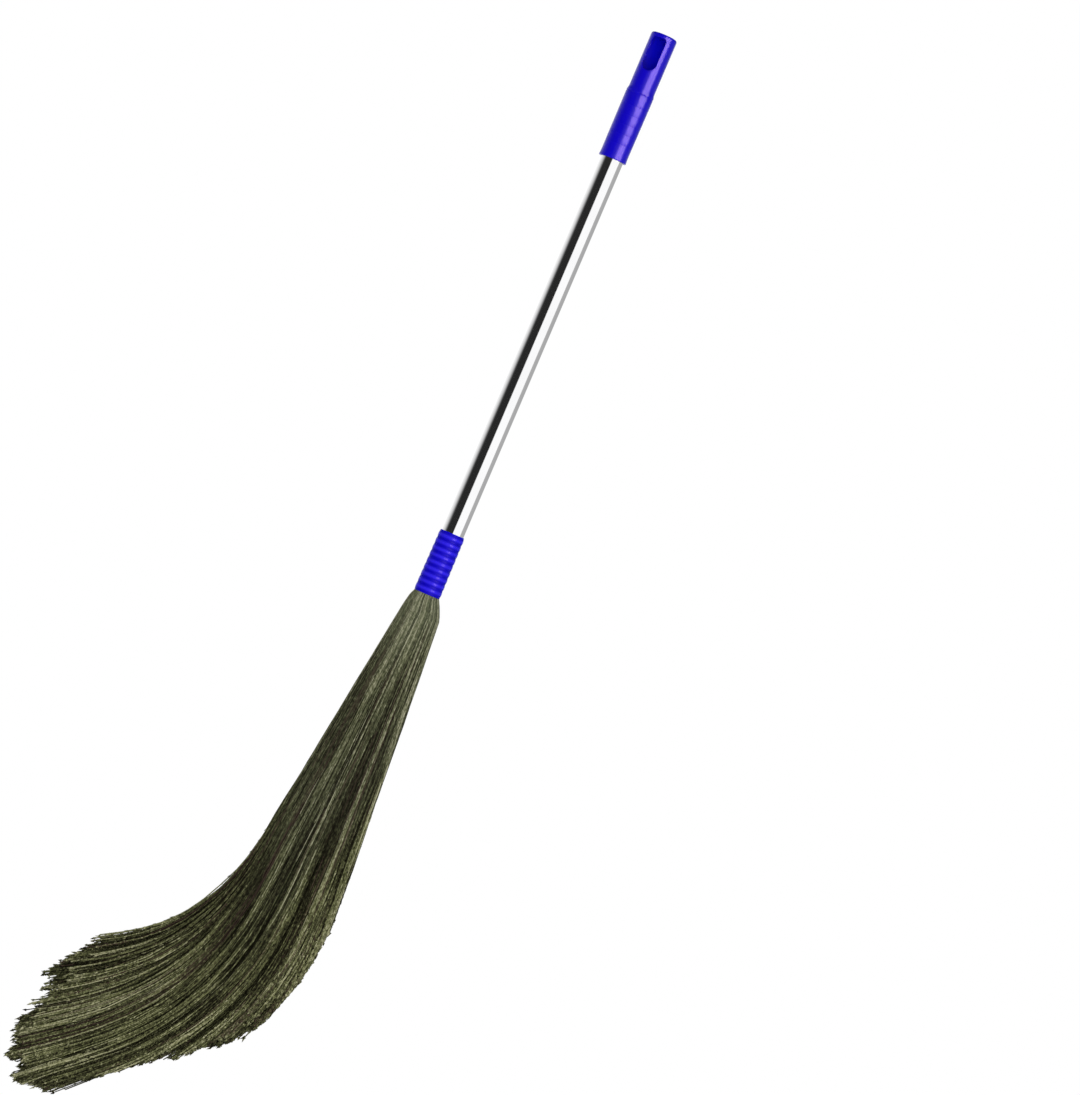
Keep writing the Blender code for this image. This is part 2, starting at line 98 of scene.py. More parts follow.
class Value:
    """A socket that Python's operators work on, each adding a Math node."""

    def __init__(self, tree: "Tree", socket: bpy.types.NodeSocket) -> None:
        """Keeps the tree and the socket.

        Args:
            tree: the tree that new nodes go to.
            socket: the output socket that holds the value.
        """
        self.tree = tree
        self.socket = socket

    def maths(self, operation: str, *values: "Value | float") -> "Value":
        """A Math node on the values.

        Args:
            operation: the Math node's operation.
            values: what its sockets get, in order.

        Returns:
            The result.
        """
        return self.tree.add("ShaderNodeMath", {"operation": operation}, dict(enumerate(values)))

    def __add__(self, other: "Value | float") -> "Value":
        """This plus the other."""
        return self.maths("ADD", self, other)

    __radd__ = __add__

    def __sub__(self, other: "Value | float") -> "Value":
        """This less the other."""
        return self.maths("SUBTRACT", self, other)

    def __rsub__(self, other: "Value | float") -> "Value":
        """The other less this."""
        return self.maths("SUBTRACT", other, self)

    def __mul__(self, other: "Value | float") -> "Value":
        """This times the other."""
        return self.maths("MULTIPLY", self, other)

    __rmul__ = __mul__

    def __truediv__(self, other: "Value | float") -> "Value":
        """This over the other."""
        return self.maths("DIVIDE", self, other)

    def __rtruediv__(self, other: "Value | float") -> "Value":
        """The other over this."""
        return self.maths("DIVIDE", other, self)

    def __pow__(self, other: "Value | float") -> "Value":
        """This to the power of the other."""
        return self.maths("POWER", self, other)

    def __neg__(self) -> "Value":
        """This with its sign turned."""
        return self.maths("MULTIPLY", self, -1)

    def floor(self) -> "Value":
        """The whole number at or below this."""
        return self.maths("FLOOR", self)

    def sine(self) -> "Value":
        """The sine of this angle."""
        return self.maths("SINE", self)

    def cosine(self) -> "Value":
        """The cosine of this angle."""
        return self.maths("COSINE", self)

    def magnitude(self) -> "Value":
        """This without its sign."""
        return self.maths("ABSOLUTE", self)

    def beside(self, name: str) -> "Value":
        """Another output of the node that this comes from."""
        return Value(self.tree, self.socket.node.outputs[name])

    def above(self, other: "Value | float") -> "Value":
        """1 where this is more than the other, and 0 elsewhere."""
        return self.maths("GREATER_THAN", self, other)

    def at_least(self, other: "Value | float") -> "Value":
        """The larger of this and the other."""
        return self.maths("MAXIMUM", self, other)

    def at_most(self, other: "Value | float") -> "Value":
        """The smaller of this and the other."""
        return self.maths("MINIMUM", self, other)

    def share(self, start: "Value | float", run: "Value | float") -> "Value":
        """How far this is along a run from a start, kept from 0 to 1."""
        return ((self - start) / run).at_least(0).at_most(1)

    def eased(self) -> "Value":
        """A smooth step of this share."""
        return self * self * (3 - 2 * self)


class Tree:
    """Adds nodes to one node tree."""

    def __init__(self, tree: bpy.types.NodeTree) -> None:
        """Keeps the tree."""
        self.tree = tree

    def add(
        self,
        kind: str,
        settings: Mapping[str, object] | None = None,
        sockets: Mapping[int | str, object] | None = None,
        output: str = "",
    ) -> Value:
        """Adds a node.

        Args:
            kind: the node's type.
            settings: its properties, or a ramp's stops or a curve's points, set first.
            sockets: values or links, by a socket's place or identifier.
            output: the name of the output that is wanted, or nothing for the first one in use.

        Returns:
            That output, or the node's first input where it has no output.
        """
        node = self.tree.nodes.new(kind)
        for key, value in (settings or {}).items():
            if key == "stops":
                self.fill_ramp(node.color_ramp, value)
            elif key == "points":
                self.fill_curve(node.mapping, value)
            else:
                setattr(node, key, value)
        for key, value in (sockets or {}).items():
            named = (s for s in node.inputs if s.identifier == key)
            self.feed(node.inputs[key] if isinstance(key, int) else next(named), value)
        if not node.outputs:
            return Value(self, node.inputs[0])
        return Value(self, next(s for s in node.outputs if s.enabled and output in ("", s.name)))

    def feed(self, socket: bpy.types.NodeSocket, value: object) -> None:
        """Links a value to a socket, or sets the socket to a plain one.

        Args:
            socket: what gets it.
            value: a link, or a plain value of the socket's kind.
        """
        if isinstance(value, Value):
            self.tree.links.new(value.socket, socket)
        else:
            socket.default_value = value

    @staticmethod
    def fill_ramp(ramp: bpy.types.ColorRamp, stops: Sequence[tuple[float, Colour]]) -> None:
        """Gives a ramp its stops.

        Args:
            ramp: the ramp.
            stops: a place and a colour each, in order.
        """
        while len(ramp.elements) < len(stops):
            ramp.elements.new(1)
        for element, (place, colour) in zip(ramp.elements, stops):
            element.position = place
            element.color = (*colour, 1)

    @staticmethod
    def fill_curve(mapping: bpy.types.CurveMapping, points: Sequence[tuple[float, float]]) -> None:
        """Gives a curve its points, joined by straight lines.

        Args:
            mapping: the curve.
            points: where they lie, in order.
        """
        curve = mapping.curves[0]
        while len(curve.points) < len(points):
            curve.points.new(1, 1)
        for point, place in zip(curve.points, points):
            point.location = place
            point.handle_type = "VECTOR"
        mapping.update()

    def mix(self, factor: Value | float, first: object, second: object) -> Value:
        """A colour between two.

        Args:
            factor: 0 for the first, 1 for the second.
            first: a colour or a link.
            second: a colour or a link.

        Returns:
            The colour.
        """
        ends = {
            key: value if isinstance(value, Value) else (*value, 1)
            for key, value in (("A_Color", first), ("B_Color", second))
        }
        return self.add("ShaderNodeMix", {"data_type": "RGBA"}, {"Factor_Float": factor, **ends})

    def vector(self, operation: str, sockets: Mapping[int | str, object], output: str = "") -> Value:
        """A Vector Math node."""
        return self.add("ShaderNodeVectorMath", {"operation": operation}, sockets, output)

    def point(self, x: Value | float = 0, y: Value | float = 0, z: Value | float = 0) -> Value:
        """A point from its coordinates."""
        return self.add("ShaderNodeCombineXYZ", None, {"X": x, "Y": y, "Z": z})

    def ray(self, kind: str) -> Value:
        """1 for rays of one kind and 0 for others."""
        return self.add("ShaderNodeLightPath", output=kind)


class Finish(Tree):
    """A Principled material that is being built."""

    def __init__(self, name: str) -> None:
        """Makes an empty material with one Principled shader.

        Args:
            name: the material's name.
        """
        self.material = bpy.data.materials.new(name)
        self.material.use_nodes = True
        super().__init__(self.material.node_tree)
        self.shader = self.tree.nodes["Principled BSDF"]

    def give(self, **values: object) -> None:
        """Sets sockets of the shader, named with _ for a space."""
        for key, value in values.items():
            self.feed(self.shader.inputs[key.replace("_", " ")], value)

    def attribute(self, name: str) -> Value:
        """A number that is stored on the mesh."""
        return self.add("ShaderNodeAttribute", {"attribute_name": name}, output="Fac")

    def places(self, stretch: Colour = (1, 1, 1)) -> Value:
        """The piece's own coordinates, stretched by a factor along each axis."""
        here = self.add("ShaderNodeTexCoord", output="Object")
        return self.add("ShaderNodeMapping", None, {"Vector": here, "Scale": stretch})

    def noise(self, scale: float, detail: float = 3, stretch: Colour = (1, 1, 1)) -> Value:
        """Soft noise of so many lumps a metre.

        Args:
            scale: lumps a metre.
            detail: octaves of finer noise.
            stretch: factors along X, Y and Z.

        Returns:
            A value near 0.5, from 0 to 1.
        """
        sockets = {"Vector": self.places(stretch), "Scale": scale, "Detail": detail}
        return self.add("ShaderNodeTexNoise", None, sockets)

    def bump(self, height: Value, depth: float) -> Value:
        """A normal that follows a height.

        Args:
            height: 0 to 1.
            depth: metres from 0 to 1.

        Returns:
            The normal.
        """
        return self.add("ShaderNodeBump", None, {"Height": height, "Distance": depth, "Strength": 1})


@dataclass(frozen=True)
class MouldedPlastic:
    """Glossy blue plastic, with a moulded skin's faint waves and rubbed patches; rib crests are painted paler
    as light, and the inside of the bore is painted a brighter blue as light.
    """

    colour: Colour = (0.0025, 0.0001, 0.530)
    dusty: Colour = (0.0040, 0.0004, 0.580)
    # Painted light: the inside of the bore is a brighter blue than the skin, standing in for light that gets
    # into the hollow.
    inside: Colour = (0.0002, 0.0001, 0.720)
    inside_roughness: float = 0.95
    # Painted light on the rib crests, mixed in by the crest share.
    worn: Colour = (0.034, 0.022, 0.900)
    specular: float = 0.25
    bore: float = 0.0116
    roughness: float = 0.23
    patch_scale: float = 60
    rubbed: float = 0.08
    fine_scale: float = 900
    fine_rubbed: float = 0.05
    groove_dull: float = 0.0
    wave_scale: float = 140
    wave_depth: float = 0.00001
    sheen: Colour = (0.92, 0.62, 1.0)

    def material(self, name: str) -> bpy.types.Material:
        """Makes the material.

        Args:
            name: its name.

        Returns:
            The material.
        """
        finish = Finish(name)
        patches = finish.noise(self.patch_scale, 5)
        fine = finish.noise(self.fine_scale, 2)
        crest = finish.attribute("crest")
        # Rib crests take painted light, so the grooves between them read as shade.
        skin = finish.mix(crest, finish.mix(patches, self.colour, self.dusty), self.worn)
        radius = finish.vector("LENGTH", {0: finish.places((1, 1, 0))}, "Value")
        out = radius.above(self.bore)
        gloss = self.roughness + self.rubbed * (patches - 0.5) + self.fine_rubbed * (fine - 0.5)
        gloss = gloss + self.groove_dull * (1 - crest)
        # Within the bore the base colour is inside, the painted brighter blue.
        finish.give(
            Base_Color=finish.mix(out, self.inside, skin),
            Roughness=self.inside_roughness + out * (gloss - self.inside_roughness),
            Normal=finish.bump(finish.noise(self.wave_scale, 1), self.wave_depth),
            Specular_IOR_Level=self.specular,
            Specular_Tint=(*self.sheen, 1),
        )
        return finish.material


@dataclass(frozen=True)
class PolishedSteel:
    """Bright drawn steel tube, with faint lines along it."""

    colour: Colour = (0.780, 0.780, 0.783)
    dull: Colour = (0.700, 0.700, 0.705)
    roughness: float = 0.07
    smear_scale: float = 25
    smeared: float = 0.06
    line_scale: float = 2600
    drawn: Colour = (1, 1, 0.004)
    line_depth: float = 0.000004

    def material(self, name: str) -> bpy.types.Material:
        """Makes the material.

        Args:
            name: its name.

        Returns:
            The material.
        """
        finish = Finish(name)
        lines = finish.noise(self.line_scale, 3, self.drawn)
        smears = finish.noise(self.smear_scale, 4)
        finish.give(
            Base_Color=finish.mix(smears, self.colour, self.dull),
            Metallic=1.0,
            Roughness=self.roughness + self.smeared * lines * smears,
            Normal=finish.bump(lines, self.line_depth),
        )
        return finish.material


@dataclass(frozen=True)
class BrightWire:
    """Plain drawn wire and nails, slightly grey."""

    colour: Colour = (0.560, 0.560, 0.570)
    dull: Colour = (0.300, 0.290, 0.280)
    roughness: float = 0.3
    spot_scale: float = 500
    spotted: float = 0.25
    spot_depth: float = 0.00002

    def material(self, name: str) -> bpy.types.Material:
        """Makes the material.

        Args:
            name: its name.

        Returns:
            The material.
        """
        finish = Finish(name)
        spots = finish.noise(self.spot_scale, 5)
        finish.give(
            Base_Color=finish.mix(spots ** 2, self.colour, self.dull),
            Metallic=1.0,
            Roughness=self.roughness + self.spotted * spots,
            Normal=finish.bump(spots, self.spot_depth),
        )
        return finish.material


@dataclass(frozen=True)
class TurnedWood:
    """Bare turned softwood with its grain along the plug."""

    pale: Colour = (0.560, 0.370, 0.190)
    dark: Colour = (0.360, 0.200, 0.090)
    roughness: float = 0.65
    grain: Colour = (1, 1, 0.05)
    grain_scale: float = 420
    grain_rough: float = 0.2
    grain_depth: float = 0.0001

    def material(self, name: str) -> bpy.types.Material:
        """Makes the material.

        Args:
            name: its name.

        Returns:
            The material.
        """
        finish = Finish(name)
        rings = finish.noise(self.grain_scale, 4, self.grain)
        finish.give(
            Base_Color=finish.mix(rings, self.pale, self.dark),
            Roughness=self.roughness + self.grain_rough * rings,
            Normal=finish.bump(rings, self.grain_depth),
        )
        return finish.material


@dataclass(frozen=True)
class DryGrass:
    """Dry stalks and flower heads: grey-green near the collar, olive towards the tips."""

    stalks: Ramp = (
        (0.00, (0.010, 0.009, 0.005)),
        (0.25, (0.040, 0.039, 0.021)),
        (0.50, (0.088, 0.094, 0.049)),
        (0.75, (0.190, 0.196, 0.108)),
        (1.00, (0.440, 0.430, 0.290)),
    )
    heads: Ramp = (
        (0.00, (0.012, 0.011, 0.005)),
        (0.25, (0.051, 0.050, 0.024)),
        (0.50, (0.113, 0.118, 0.051)),
        (0.75, (0.227, 0.235, 0.108)),
        (1.00, (0.460, 0.450, 0.270)),
    )
    pale: Colour = (0.190, 0.215, 0.138)
    ruddy: Colour = (0.090, 0.055, 0.046)
    pale_end: float = 0.17
    pale_share: float = 0.26
    heads_start: float = 0.36
    heads_run: float = 0.35
    ruddy_share: float = 0.08
    ruddy_strength: float = 0.6
    fibre: Colour = (1, 1, 0.35)
    fibre_scale: float = 760
    fibre_tone: float = 1.3
    fleck_scale: float = 480
    fleck_tone: float = 1.0
    roughness: float = 0.45
    heads_rough: float = 0.3
    specular: float = 0.06
    mean_tint: float = 0.38
    tones: Curve = (
        (0.0, 1.80), (0.08, 1.62), (0.20, 1.11), (0.40, 0.96), (0.56, 0.73), (0.75, 0.94), (1.0, 1.22),
    )

    def material(self, name: str) -> bpy.types.Material:
        """Makes the material.

        Args:
            name: its name.

        Returns:
            The material.
        """
        finish = Finish(name)
        tint, along, odd = (finish.attribute(key) for key in ("tint", "along", "odd"))
        head = along.share(self.heads_start, self.heads_run).eased()
        fibres = finish.noise(self.fibre_scale, 2, self.fibre) - 0.5
        flecks = self.fibre_tone * fibres + self.fleck_tone * head * (finish.noise(self.fleck_scale, 3) - 0.5)
        points = [(place, level / 2) for place, level in self.tones]
        level = 2 * finish.add("ShaderNodeFloatCurve", {"points": points}, {"Value": along})
        tone = tint + flecks + self.mean_tint * (level - 1)
        upper = finish.add("ShaderNodeValToRGB", {"stops": self.stalks}, {"Fac": tone})
        lower = finish.add("ShaderNodeValToRGB", {"stops": self.heads}, {"Fac": tone})
        colour = finish.mix(head, upper, lower)
        faded = 1 - along.share(0, self.pale_end).eased()
        colour = finish.mix(self.pale_share * faded, colour, self.pale)
        reddened = self.ruddy_strength * (1 - odd.above(self.ruddy_share))
        colour = finish.mix(reddened, colour, self.ruddy)
        roughness = self.roughness + self.heads_rough * head
        finish.give(Base_Color=colour, Roughness=roughness, Specular_IOR_Level=self.specular)
        return finish.material


def link(name: str, mesh: bpy.types.Mesh) -> bpy.types.Object:
    """An object that shows a mesh at the origin.

    Args:
        name: the object's name.
        mesh: its mesh, in place.

    Returns:
        The object.
    """
    shown = bpy.data.objects.new(name, mesh)
    bpy.context.scene.collection.objects.link(shown)
    return shown


def set_piece(name: str, mesh: bpy.types.Mesh, slot: Slot, *nodes: str) -> None:
    """Puts a finished mesh in the broom in place of CAD nodes.

    Args:
        name: the piece's name.
        mesh: its mesh, in place and with its material.
        slot: the record's slot for the piece; not used.
        nodes: the CAD nodes that it stands for.
    """
    piece = link(name, mesh)
    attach(piece, Body.ROOT.value)
    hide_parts(*nodes)
    log.info("%s: %d faces, for %s", name, len(mesh.polygons), ", ".join(nodes))


def dress_node(name: str, material: bpy.types.Material) -> None:
    """Gives a CAD node a better material.

    Args:
        name: the node's name.
        material: what it gets.
    """
    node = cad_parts[name]
    node.data.materials.clear()
    node.data.materials.append(material)
    log.info("%s: dressed", name)


def arc(centre: tuple[float, float], size: float, start: float, end: float, count: int) -> Profile:
    """Points of a part circle.

    Args:
        centre: its middle.
        size: its radius.
        start: first angle, in degrees.
        end: last angle, in degrees.
        count: how many points.

    Returns:
        The points.
    """
    angles = [math.radians(start + (end - start) * i / (count - 1)) for i in range(count)]
    return [(centre[0] + size * math.cos(a), centre[1] + size * math.sin(a)) for a in angles]


class Lathe:
    """Builds a body of rings and patches round the Z axis as one welded mesh."""

    def __init__(self, sides: int) -> None:
        """Starts an empty body.

        Args:
            sides: how many faces go round it.
        """
        self.sides = sides
        self.shape = bmesh.new()

    def ring(self, radius: float, height: float) -> list[bmesh.types.BMVert]:
        """Vertices round the axis, or one on it.

        Args:
            radius: how far out they lie, or 0 for the one.
            height: where they lie along the axis.

        Returns:
            The vertices.
        """
        if radius == 0:
            return [self.shape.verts.new((0, 0, height))]
        turns = [math.tau * i / self.sides for i in range(self.sides)]
        return [
            self.shape.verts.new((radius * math.sin(a), -radius * math.cos(a), height)) for a in turns
        ]

    def join(self, upper: list, lower: list, skip: frozenset[int] = frozenset()) -> None:
        """Faces between two rings.

        Args:
            upper: the vertices of one ring.
            lower: the vertices of the other.
            skip: the columns that get no face.
        """
        for i in range(self.sides):
            if i in skip:
                continue
            j = (i + 1) % self.sides
            corners = [upper[i % len(upper)], upper[j % len(upper)]]
            corners += [lower[j % len(lower)], lower[i % len(lower)]]
            self.shape.faces.new(list(dict.fromkeys(corners)))

    def turn(self, profile: Profile) -> None:
        """Faces along a profile.

        Args:
            profile: its (radius, height) points.
        """
        rings = [self.ring(*point) for point in profile]
        for upper, lower in zip(rings, rings[1:]):
            self.join(upper, lower)

    def mesh(self, name: str, material: bpy.types.Material, sharp: float = 50) -> bpy.types.Mesh:
        """The finished mesh.

        Args:
            name: its name.
            material: what it is made of.
            sharp: degrees from which an edge stays sharp.

        Returns:
            The mesh, welded and smooth, with its faces pointing out.
        """
        bmesh.ops.remove_doubles(self.shape, verts=self.shape.verts, dist=WELD)
        bmesh.ops.recalc_face_normals(self.shape, faces=self.shape.faces)
        made = bpy.data.meshes.new(name)
        self.shape.to_mesh(made)
        self.shape.free()
        made.materials.append(material)
        made.shade_smooth()
        made.set_sharp_from_angle(angle=math.radians(sharp))
        return made


@dataclass(frozen=True)
class Levels:
    """Heights and radii that neighbouring pieces share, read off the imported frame."""

    grip_top: float = field(default_factory=lambda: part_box("grip")[1].z)
    grip_bottom: float = field(default_factory=lambda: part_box("grip")[0].z)
    tube_top: float = field(default_factory=lambda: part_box("handle_tube")[1].z)
    tube_bottom: float = field(default_factory=lambda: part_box("handle_tube")[0].z)
    tube_radius: float = field(default_factory=lambda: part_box("handle_tube")[1].x)
    collar_top: float = field(default_factory=lambda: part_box("collar")[1].z)
    mouth: float = field(default_factory=lambda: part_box("collar")[0].z)
    sleeve_gap: float = 0.0002
    lip_gap: float = 0.00005

    @property
    def bore(self) -> float:
        """Radius of what fits on the tube."""
        return self.tube_radius + self.sleeve_gap

    @property
    def lip(self) -> float:
        """Radius where a plastic edge closes on the tube."""
        return self.tube_radius + self.lip_gap


@dataclass(frozen=True)
class Grip:
    """The moulded grip: a cap with a hanging slot, a shoulder ring and a grooved lower barrel."""

    levels: Levels
    wall: float = 0.0013
    top_wall: float = 0.0030
    top_round: float = 0.0024
    shoulder_drop: float = 0.0540
    shoulder_rise: float = 0.0008
    shoulder_slope: float = 0.0045
    shoulder_steps: int = 8
    seam_drop: float = 0.0009
    seam_width: float = 0.0014
    seam_depth: float = 0.00035
    lower_extra: float = 0.0005
    rim_rise: float = 0.0003
    rim_length: float = 0.0060
    ring_count: int = 5
    ring_depth: float = 0.00011
    ring_width: float = 0.0012
    ring_first_share: float = 0.212
    ring_pitch_share: float = 0.158
    groove_steps: tuple[float, ...] = (-1, -0.6, -0.25, 0, 0.25, 0.6, 1)
    slot_length: float = 0.0325
    slot_width: float = 0.0136
    slot_corner: float = 0.0030
    slot_turn: float = -15
    slot_fillet: float = 0.00025
    fillet_steps: int = 5
    round_points: int = 9
    slot_end_points: int = 25
    rim_points: int = 5
    edge_points: int = 4
    edge_round: float = 0.0003
    lip_length: float = 0.0015
    lip_reach: float = 1.5
    window_margin: float = 0.0016
    row_pitch: float = 0.0012
    clear_share: float = 3
    sides: int = 160
    finish: MouldedPlastic = MouldedPlastic()

    @property
    def barrel(self) -> float:
        """Radius of the upper barrel."""
        return self.levels.bore + self.wall

    def lower_radius(self, share: float) -> float:
        """Radius of the lower barrel at a share of the way from its ring to its rim."""
        return self.barrel + self.shoulder_rise + (self.lower_extra - self.shoulder_rise) * share

    def groove(self, share: float, level: float, width: float, depth: float) -> Profile:
        """Points of one rounded groove in the lower barrel.

        Args:
            share: how far down the barrel it lies.
            level: height of its middle.
            width: its height.
            depth: how deep it is cut.

        Returns:
            The points, top first.
        """
        radius = self.lower_radius(share)
        return [
            (radius - depth * (0.5 + 0.5 * math.cos(math.pi * t)), level - t * width / 2)
            for t in self.groove_steps
        ]

    def outside_below(self, window_bottom: float) -> Profile:
        """The outer profile from the slot's window down, and round the rim to the bore.

        Args:
            window_bottom: height of the window's lower edge.

        Returns:
            The points, top first.
        """
        top = self.levels.grip_top - self.shoulder_drop
        bottom = self.levels.grip_bottom
        start = top - self.shoulder_slope
        run = start - (bottom + self.rim_length)
        points = [(self.barrel, window_bottom)]
        for i in range(self.shoulder_steps + 1):
            share = i / self.shoulder_steps
            rise = share * share * (3 - 2 * share)
            points.append((self.barrel + self.shoulder_rise * rise, top - self.shoulder_slope * share))
        points += self.groove(0, start - self.seam_drop, self.seam_width, self.seam_depth)
        for i in range(self.ring_count):
            share = self.ring_first_share + self.ring_pitch_share * i
            level = start - run * share - self.ring_width / 2
            points += self.groove(share, level, self.ring_width, self.ring_depth)
        rim = self.lower_radius(1) + self.rim_rise
        points += [(self.lower_radius(1), bottom + self.rim_length)]
        points += [(rim - self.rim_rise / 2, bottom + self.rim_length / 2)]
        foot = (rim - self.rim_rise, bottom + self.rim_rise)
        points += arc(foot, self.rim_rise, 0, -90, self.rim_points)
        lip = self.levels.lip
        edge = (lip + self.edge_round, bottom + self.edge_round)
        points += arc(edge, self.edge_round, -90, -180, self.edge_points)
        points += [(lip, bottom + self.lip_length)]
        points += [(self.levels.bore, bottom + self.lip_reach * self.lip_length)]
        return points

    def slot_outline(self, offset: float) -> Profile:
        """Points round the slot.

        Args:
            offset: how far they are moved outwards.

        Returns:
            The (sideways, height) points.
        """
        half = self.slot_width / 2
        corner = self.slot_corner
        upper = arc((half - corner, -corner), corner + offset, 0, 90, self.round_points)
        lower = arc((0, half - self.slot_length), half + offset, 180, 360, self.slot_end_points)
        return upper + [(-x, z) for x, z in reversed(upper)] + lower

    def point_at(self, sideways: float, height: float, radius: float) -> Vector:
        """The point that far sideways of the slot's middle, on a cylinder round the axis."""
        turn = math.asin(sideways / radius) + math.radians(self.slot_turn)
        return Vector((radius * math.sin(turn), -radius * math.cos(turn), height))

    def window(self, lathe: Lathe, radius: float, rows: Sequence[float], offset: float) -> None:
        """A cylinder wall with the slot's hole in it, from its upper to its lower row.

        Args:
            lathe: what gets the faces.
            radius: the cylinder's radius.
            rows: heights, top first.
            offset: how far the hole is moved outwards.
        """
        pitch = math.tau / self.sides
        reach = math.asin((self.slot_width / 2 + offset) / radius) + self.window_margin / radius
        first = math.floor((math.radians(self.slot_turn) - reach) / pitch)
        last = math.ceil((math.radians(self.slot_turn) + reach) / pitch)
        columns = range(first, last + 1)
        rings = [lathe.ring(radius, height) for height in (rows[0], rows[-1])]
        lathe.join(*rings, frozenset(i % self.sides for i in columns[:-1]))
        hole = [
            Vector((radius * (math.asin(x / radius) + math.radians(self.slot_turn)), z))
            for x, z in self.slot_outline(offset)
        ]
        sheet = hole + [
            Vector((radius * pitch * column, height))
            for column in columns
            for height in (rows if column not in (first, last) else (rows[0], rows[-1]))
            if self.outside(radius * pitch * column, height, hole)
        ]
        edges = [(i, (i + 1) % len(hole)) for i in range(len(hole))]
        places, _, faces, *_ = delaunay_2d_cdt(sheet, edges, [], 0, FLAT_WELD)
        made = [
            lathe.shape.verts.new((radius * math.sin(p.x / radius), -radius * math.cos(p.x / radius), p.y))
            for p in places
        ]
        for face in faces:
            middle = sum((places[i] for i in face), Vector((0, 0))) / len(face)
            if not self.encloses(middle, hole):
                lathe.shape.faces.new([made[i] for i in face])

    @staticmethod
    def encloses(point: Vector, outline: Sequence[Vector]) -> bool:
        """Tells if a flat point lies within a closed outline.

        Args:
            point: the point.
            outline: the outline's points, in order.

        Returns:
            True if it does.
        """
        inside = False
        for a, b in zip(outline, [*outline[1:], outline[0]]):
            if (a.y > point.y) != (b.y > point.y):
                if point.x < a.x + (b.x - a.x) * (point.y - a.y) / (b.y - a.y):
                    inside = not inside
        return inside

    def outside(self, x: float, y: float, hole: Sequence[Vector]) -> bool:
        """Tells if a flat point lies outside the hole and not close to its edge.

        Args:
            x: the point's place sideways.
            y: its height.
            hole: the points round the hole, in order.

        Returns:
            True if it does.
        """
        point = Vector((x, y))
        near = min((point - p).length for p in hole)
        return near > self.row_pitch / self.clear_share and not self.encloses(point, hole)

    def slot_walls(self, lathe: Lathe) -> None:
        """The slot's rounded edge and its walls, from the outer to the inner wall.

        Args:
            lathe: what gets the faces.
        """
        loops = []
        for i in range(self.fillet_steps + 1):
            turn = math.pi / 2 * i / self.fillet_steps
            offset = self.slot_fillet * (1 - math.sin(turn))
            radius = self.barrel - self.slot_fillet * (1 - math.cos(turn))
            loops.append([self.point_at(x, z, radius) for x, z in self.slot_outline(offset)])
        loops.append([self.point_at(x, z, self.levels.bore) for x, z in self.slot_outline(0)])
        rings = [[lathe.shape.verts.new(p) for p in loop] for loop in loops]
        for outer, inner in zip(rings, rings[1:]):
            for i in range(len(outer)):
                j = (i + 1) % len(outer)
                lathe.shape.faces.new((outer[i], outer[j], inner[j], inner[i]))

    def build(self) -> None:
        """Makes the grip and puts it in place."""
        top, bore = self.levels.grip_top, self.levels.bore
        ceiling = top - self.top_wall
        window_top = ceiling - self.edge_round
        count = round((self.slot_length + 2 * self.window_margin) / self.row_pitch)
        window_bottom = window_top - self.row_pitch * count
        rows = [window_top - self.row_pitch * i for i in range(count + 1)]
        lathe = Lathe(self.sides)
        shoulder = (self.barrel - self.top_round, top - self.top_round)
        cap = arc(shoulder, self.top_round, 90, 0, self.round_points)
        lathe.turn([(0, top), *cap, (self.barrel, window_top)])
        self.window(lathe, self.barrel, rows, self.slot_fillet)
        lathe.turn(self.outside_below(window_bottom) + [(bore, window_bottom)])
        self.window(lathe, bore, rows, 0)
        lathe.turn([(bore, window_top), (bore - self.edge_round, ceiling), (0, ceiling)])
        self.slot_walls(lathe)
        mesh = lathe.mesh("grip_shell", self.finish.material("grip_blue"))
        set_piece("grip_shell", mesh, Slot.GRIP, "grip")


@dataclass(frozen=True)
class HandleTube:
    """The polished steel tube."""

    levels: Levels
    wall: float = 0.0008
    edge: float = 0.0002
    sides: int = 128
    sharp: float = 30
    finish: PolishedSteel = PolishedSteel()

    def build(self) -> None:
        """Makes the tube and puts it in place."""
        outer, inner = self.levels.tube_radius, self.levels.tube_radius - self.wall
        top, bottom = self.levels.tube_top, self.levels.tube_bottom
        profile = [(inner, top), (outer - self.edge, top), (outer, top - self.edge)]
        profile += [(outer, bottom + self.edge), (outer - self.edge, bottom), (inner, bottom), (inner, top)]
        lathe = Lathe(self.sides)
        lathe.turn(profile)
        mesh = lathe.mesh("steel_tube", self.finish.material("polished_steel"), self.sharp)
        set_piece("steel_tube", mesh, Slot.TUBE, "handle_tube")


def new_nodes(name: str, inputs: Mapping[str, type]) -> tuple[Tree, SimpleNamespace]:
    """Starts a geometry node tree.

    Args:
        name: the tree's name.
        inputs: the kind of each named input: int, float or a material.

    Returns:
        The tree, and its inputs as values by name.
    """
    group = bpy.data.node_groups.new(name, "GeometryNodeTree")
    group.interface.new_socket("Geometry", in_out="OUTPUT", socket_type="NodeSocketGeometry")
    kinds = {int: "NodeSocketInt", float: "NodeSocketFloat", bpy.types.Material: "NodeSocketMaterial"}
    for key, kind in inputs.items():
        group.interface.new_socket(key, in_out="INPUT", socket_type=kinds[kind])
    tree = Tree(group)
    entry = group.nodes.new("NodeGroupInput")
    return tree, SimpleNamespace(**{key: Value(tree, entry.outputs[key]) for key in inputs})


def end_nodes(tree: Tree, geometry: Value, material: Value) -> bpy.types.NodeTree:
    """Ends a tree in Realize Instances and Set Material.

    Args:
        tree: the tree.
        geometry: what it has made.
        material: its finish.

    Returns:
        The node group.
    """
    real = tree.add("GeometryNodeRealizeInstances", None, {"Geometry": geometry})
    done = tree.add("GeometryNodeSetMaterial", None, {"Geometry": real, "Material": material})
    tree.add("NodeGroupOutput", None, {0: done})
    return tree.tree


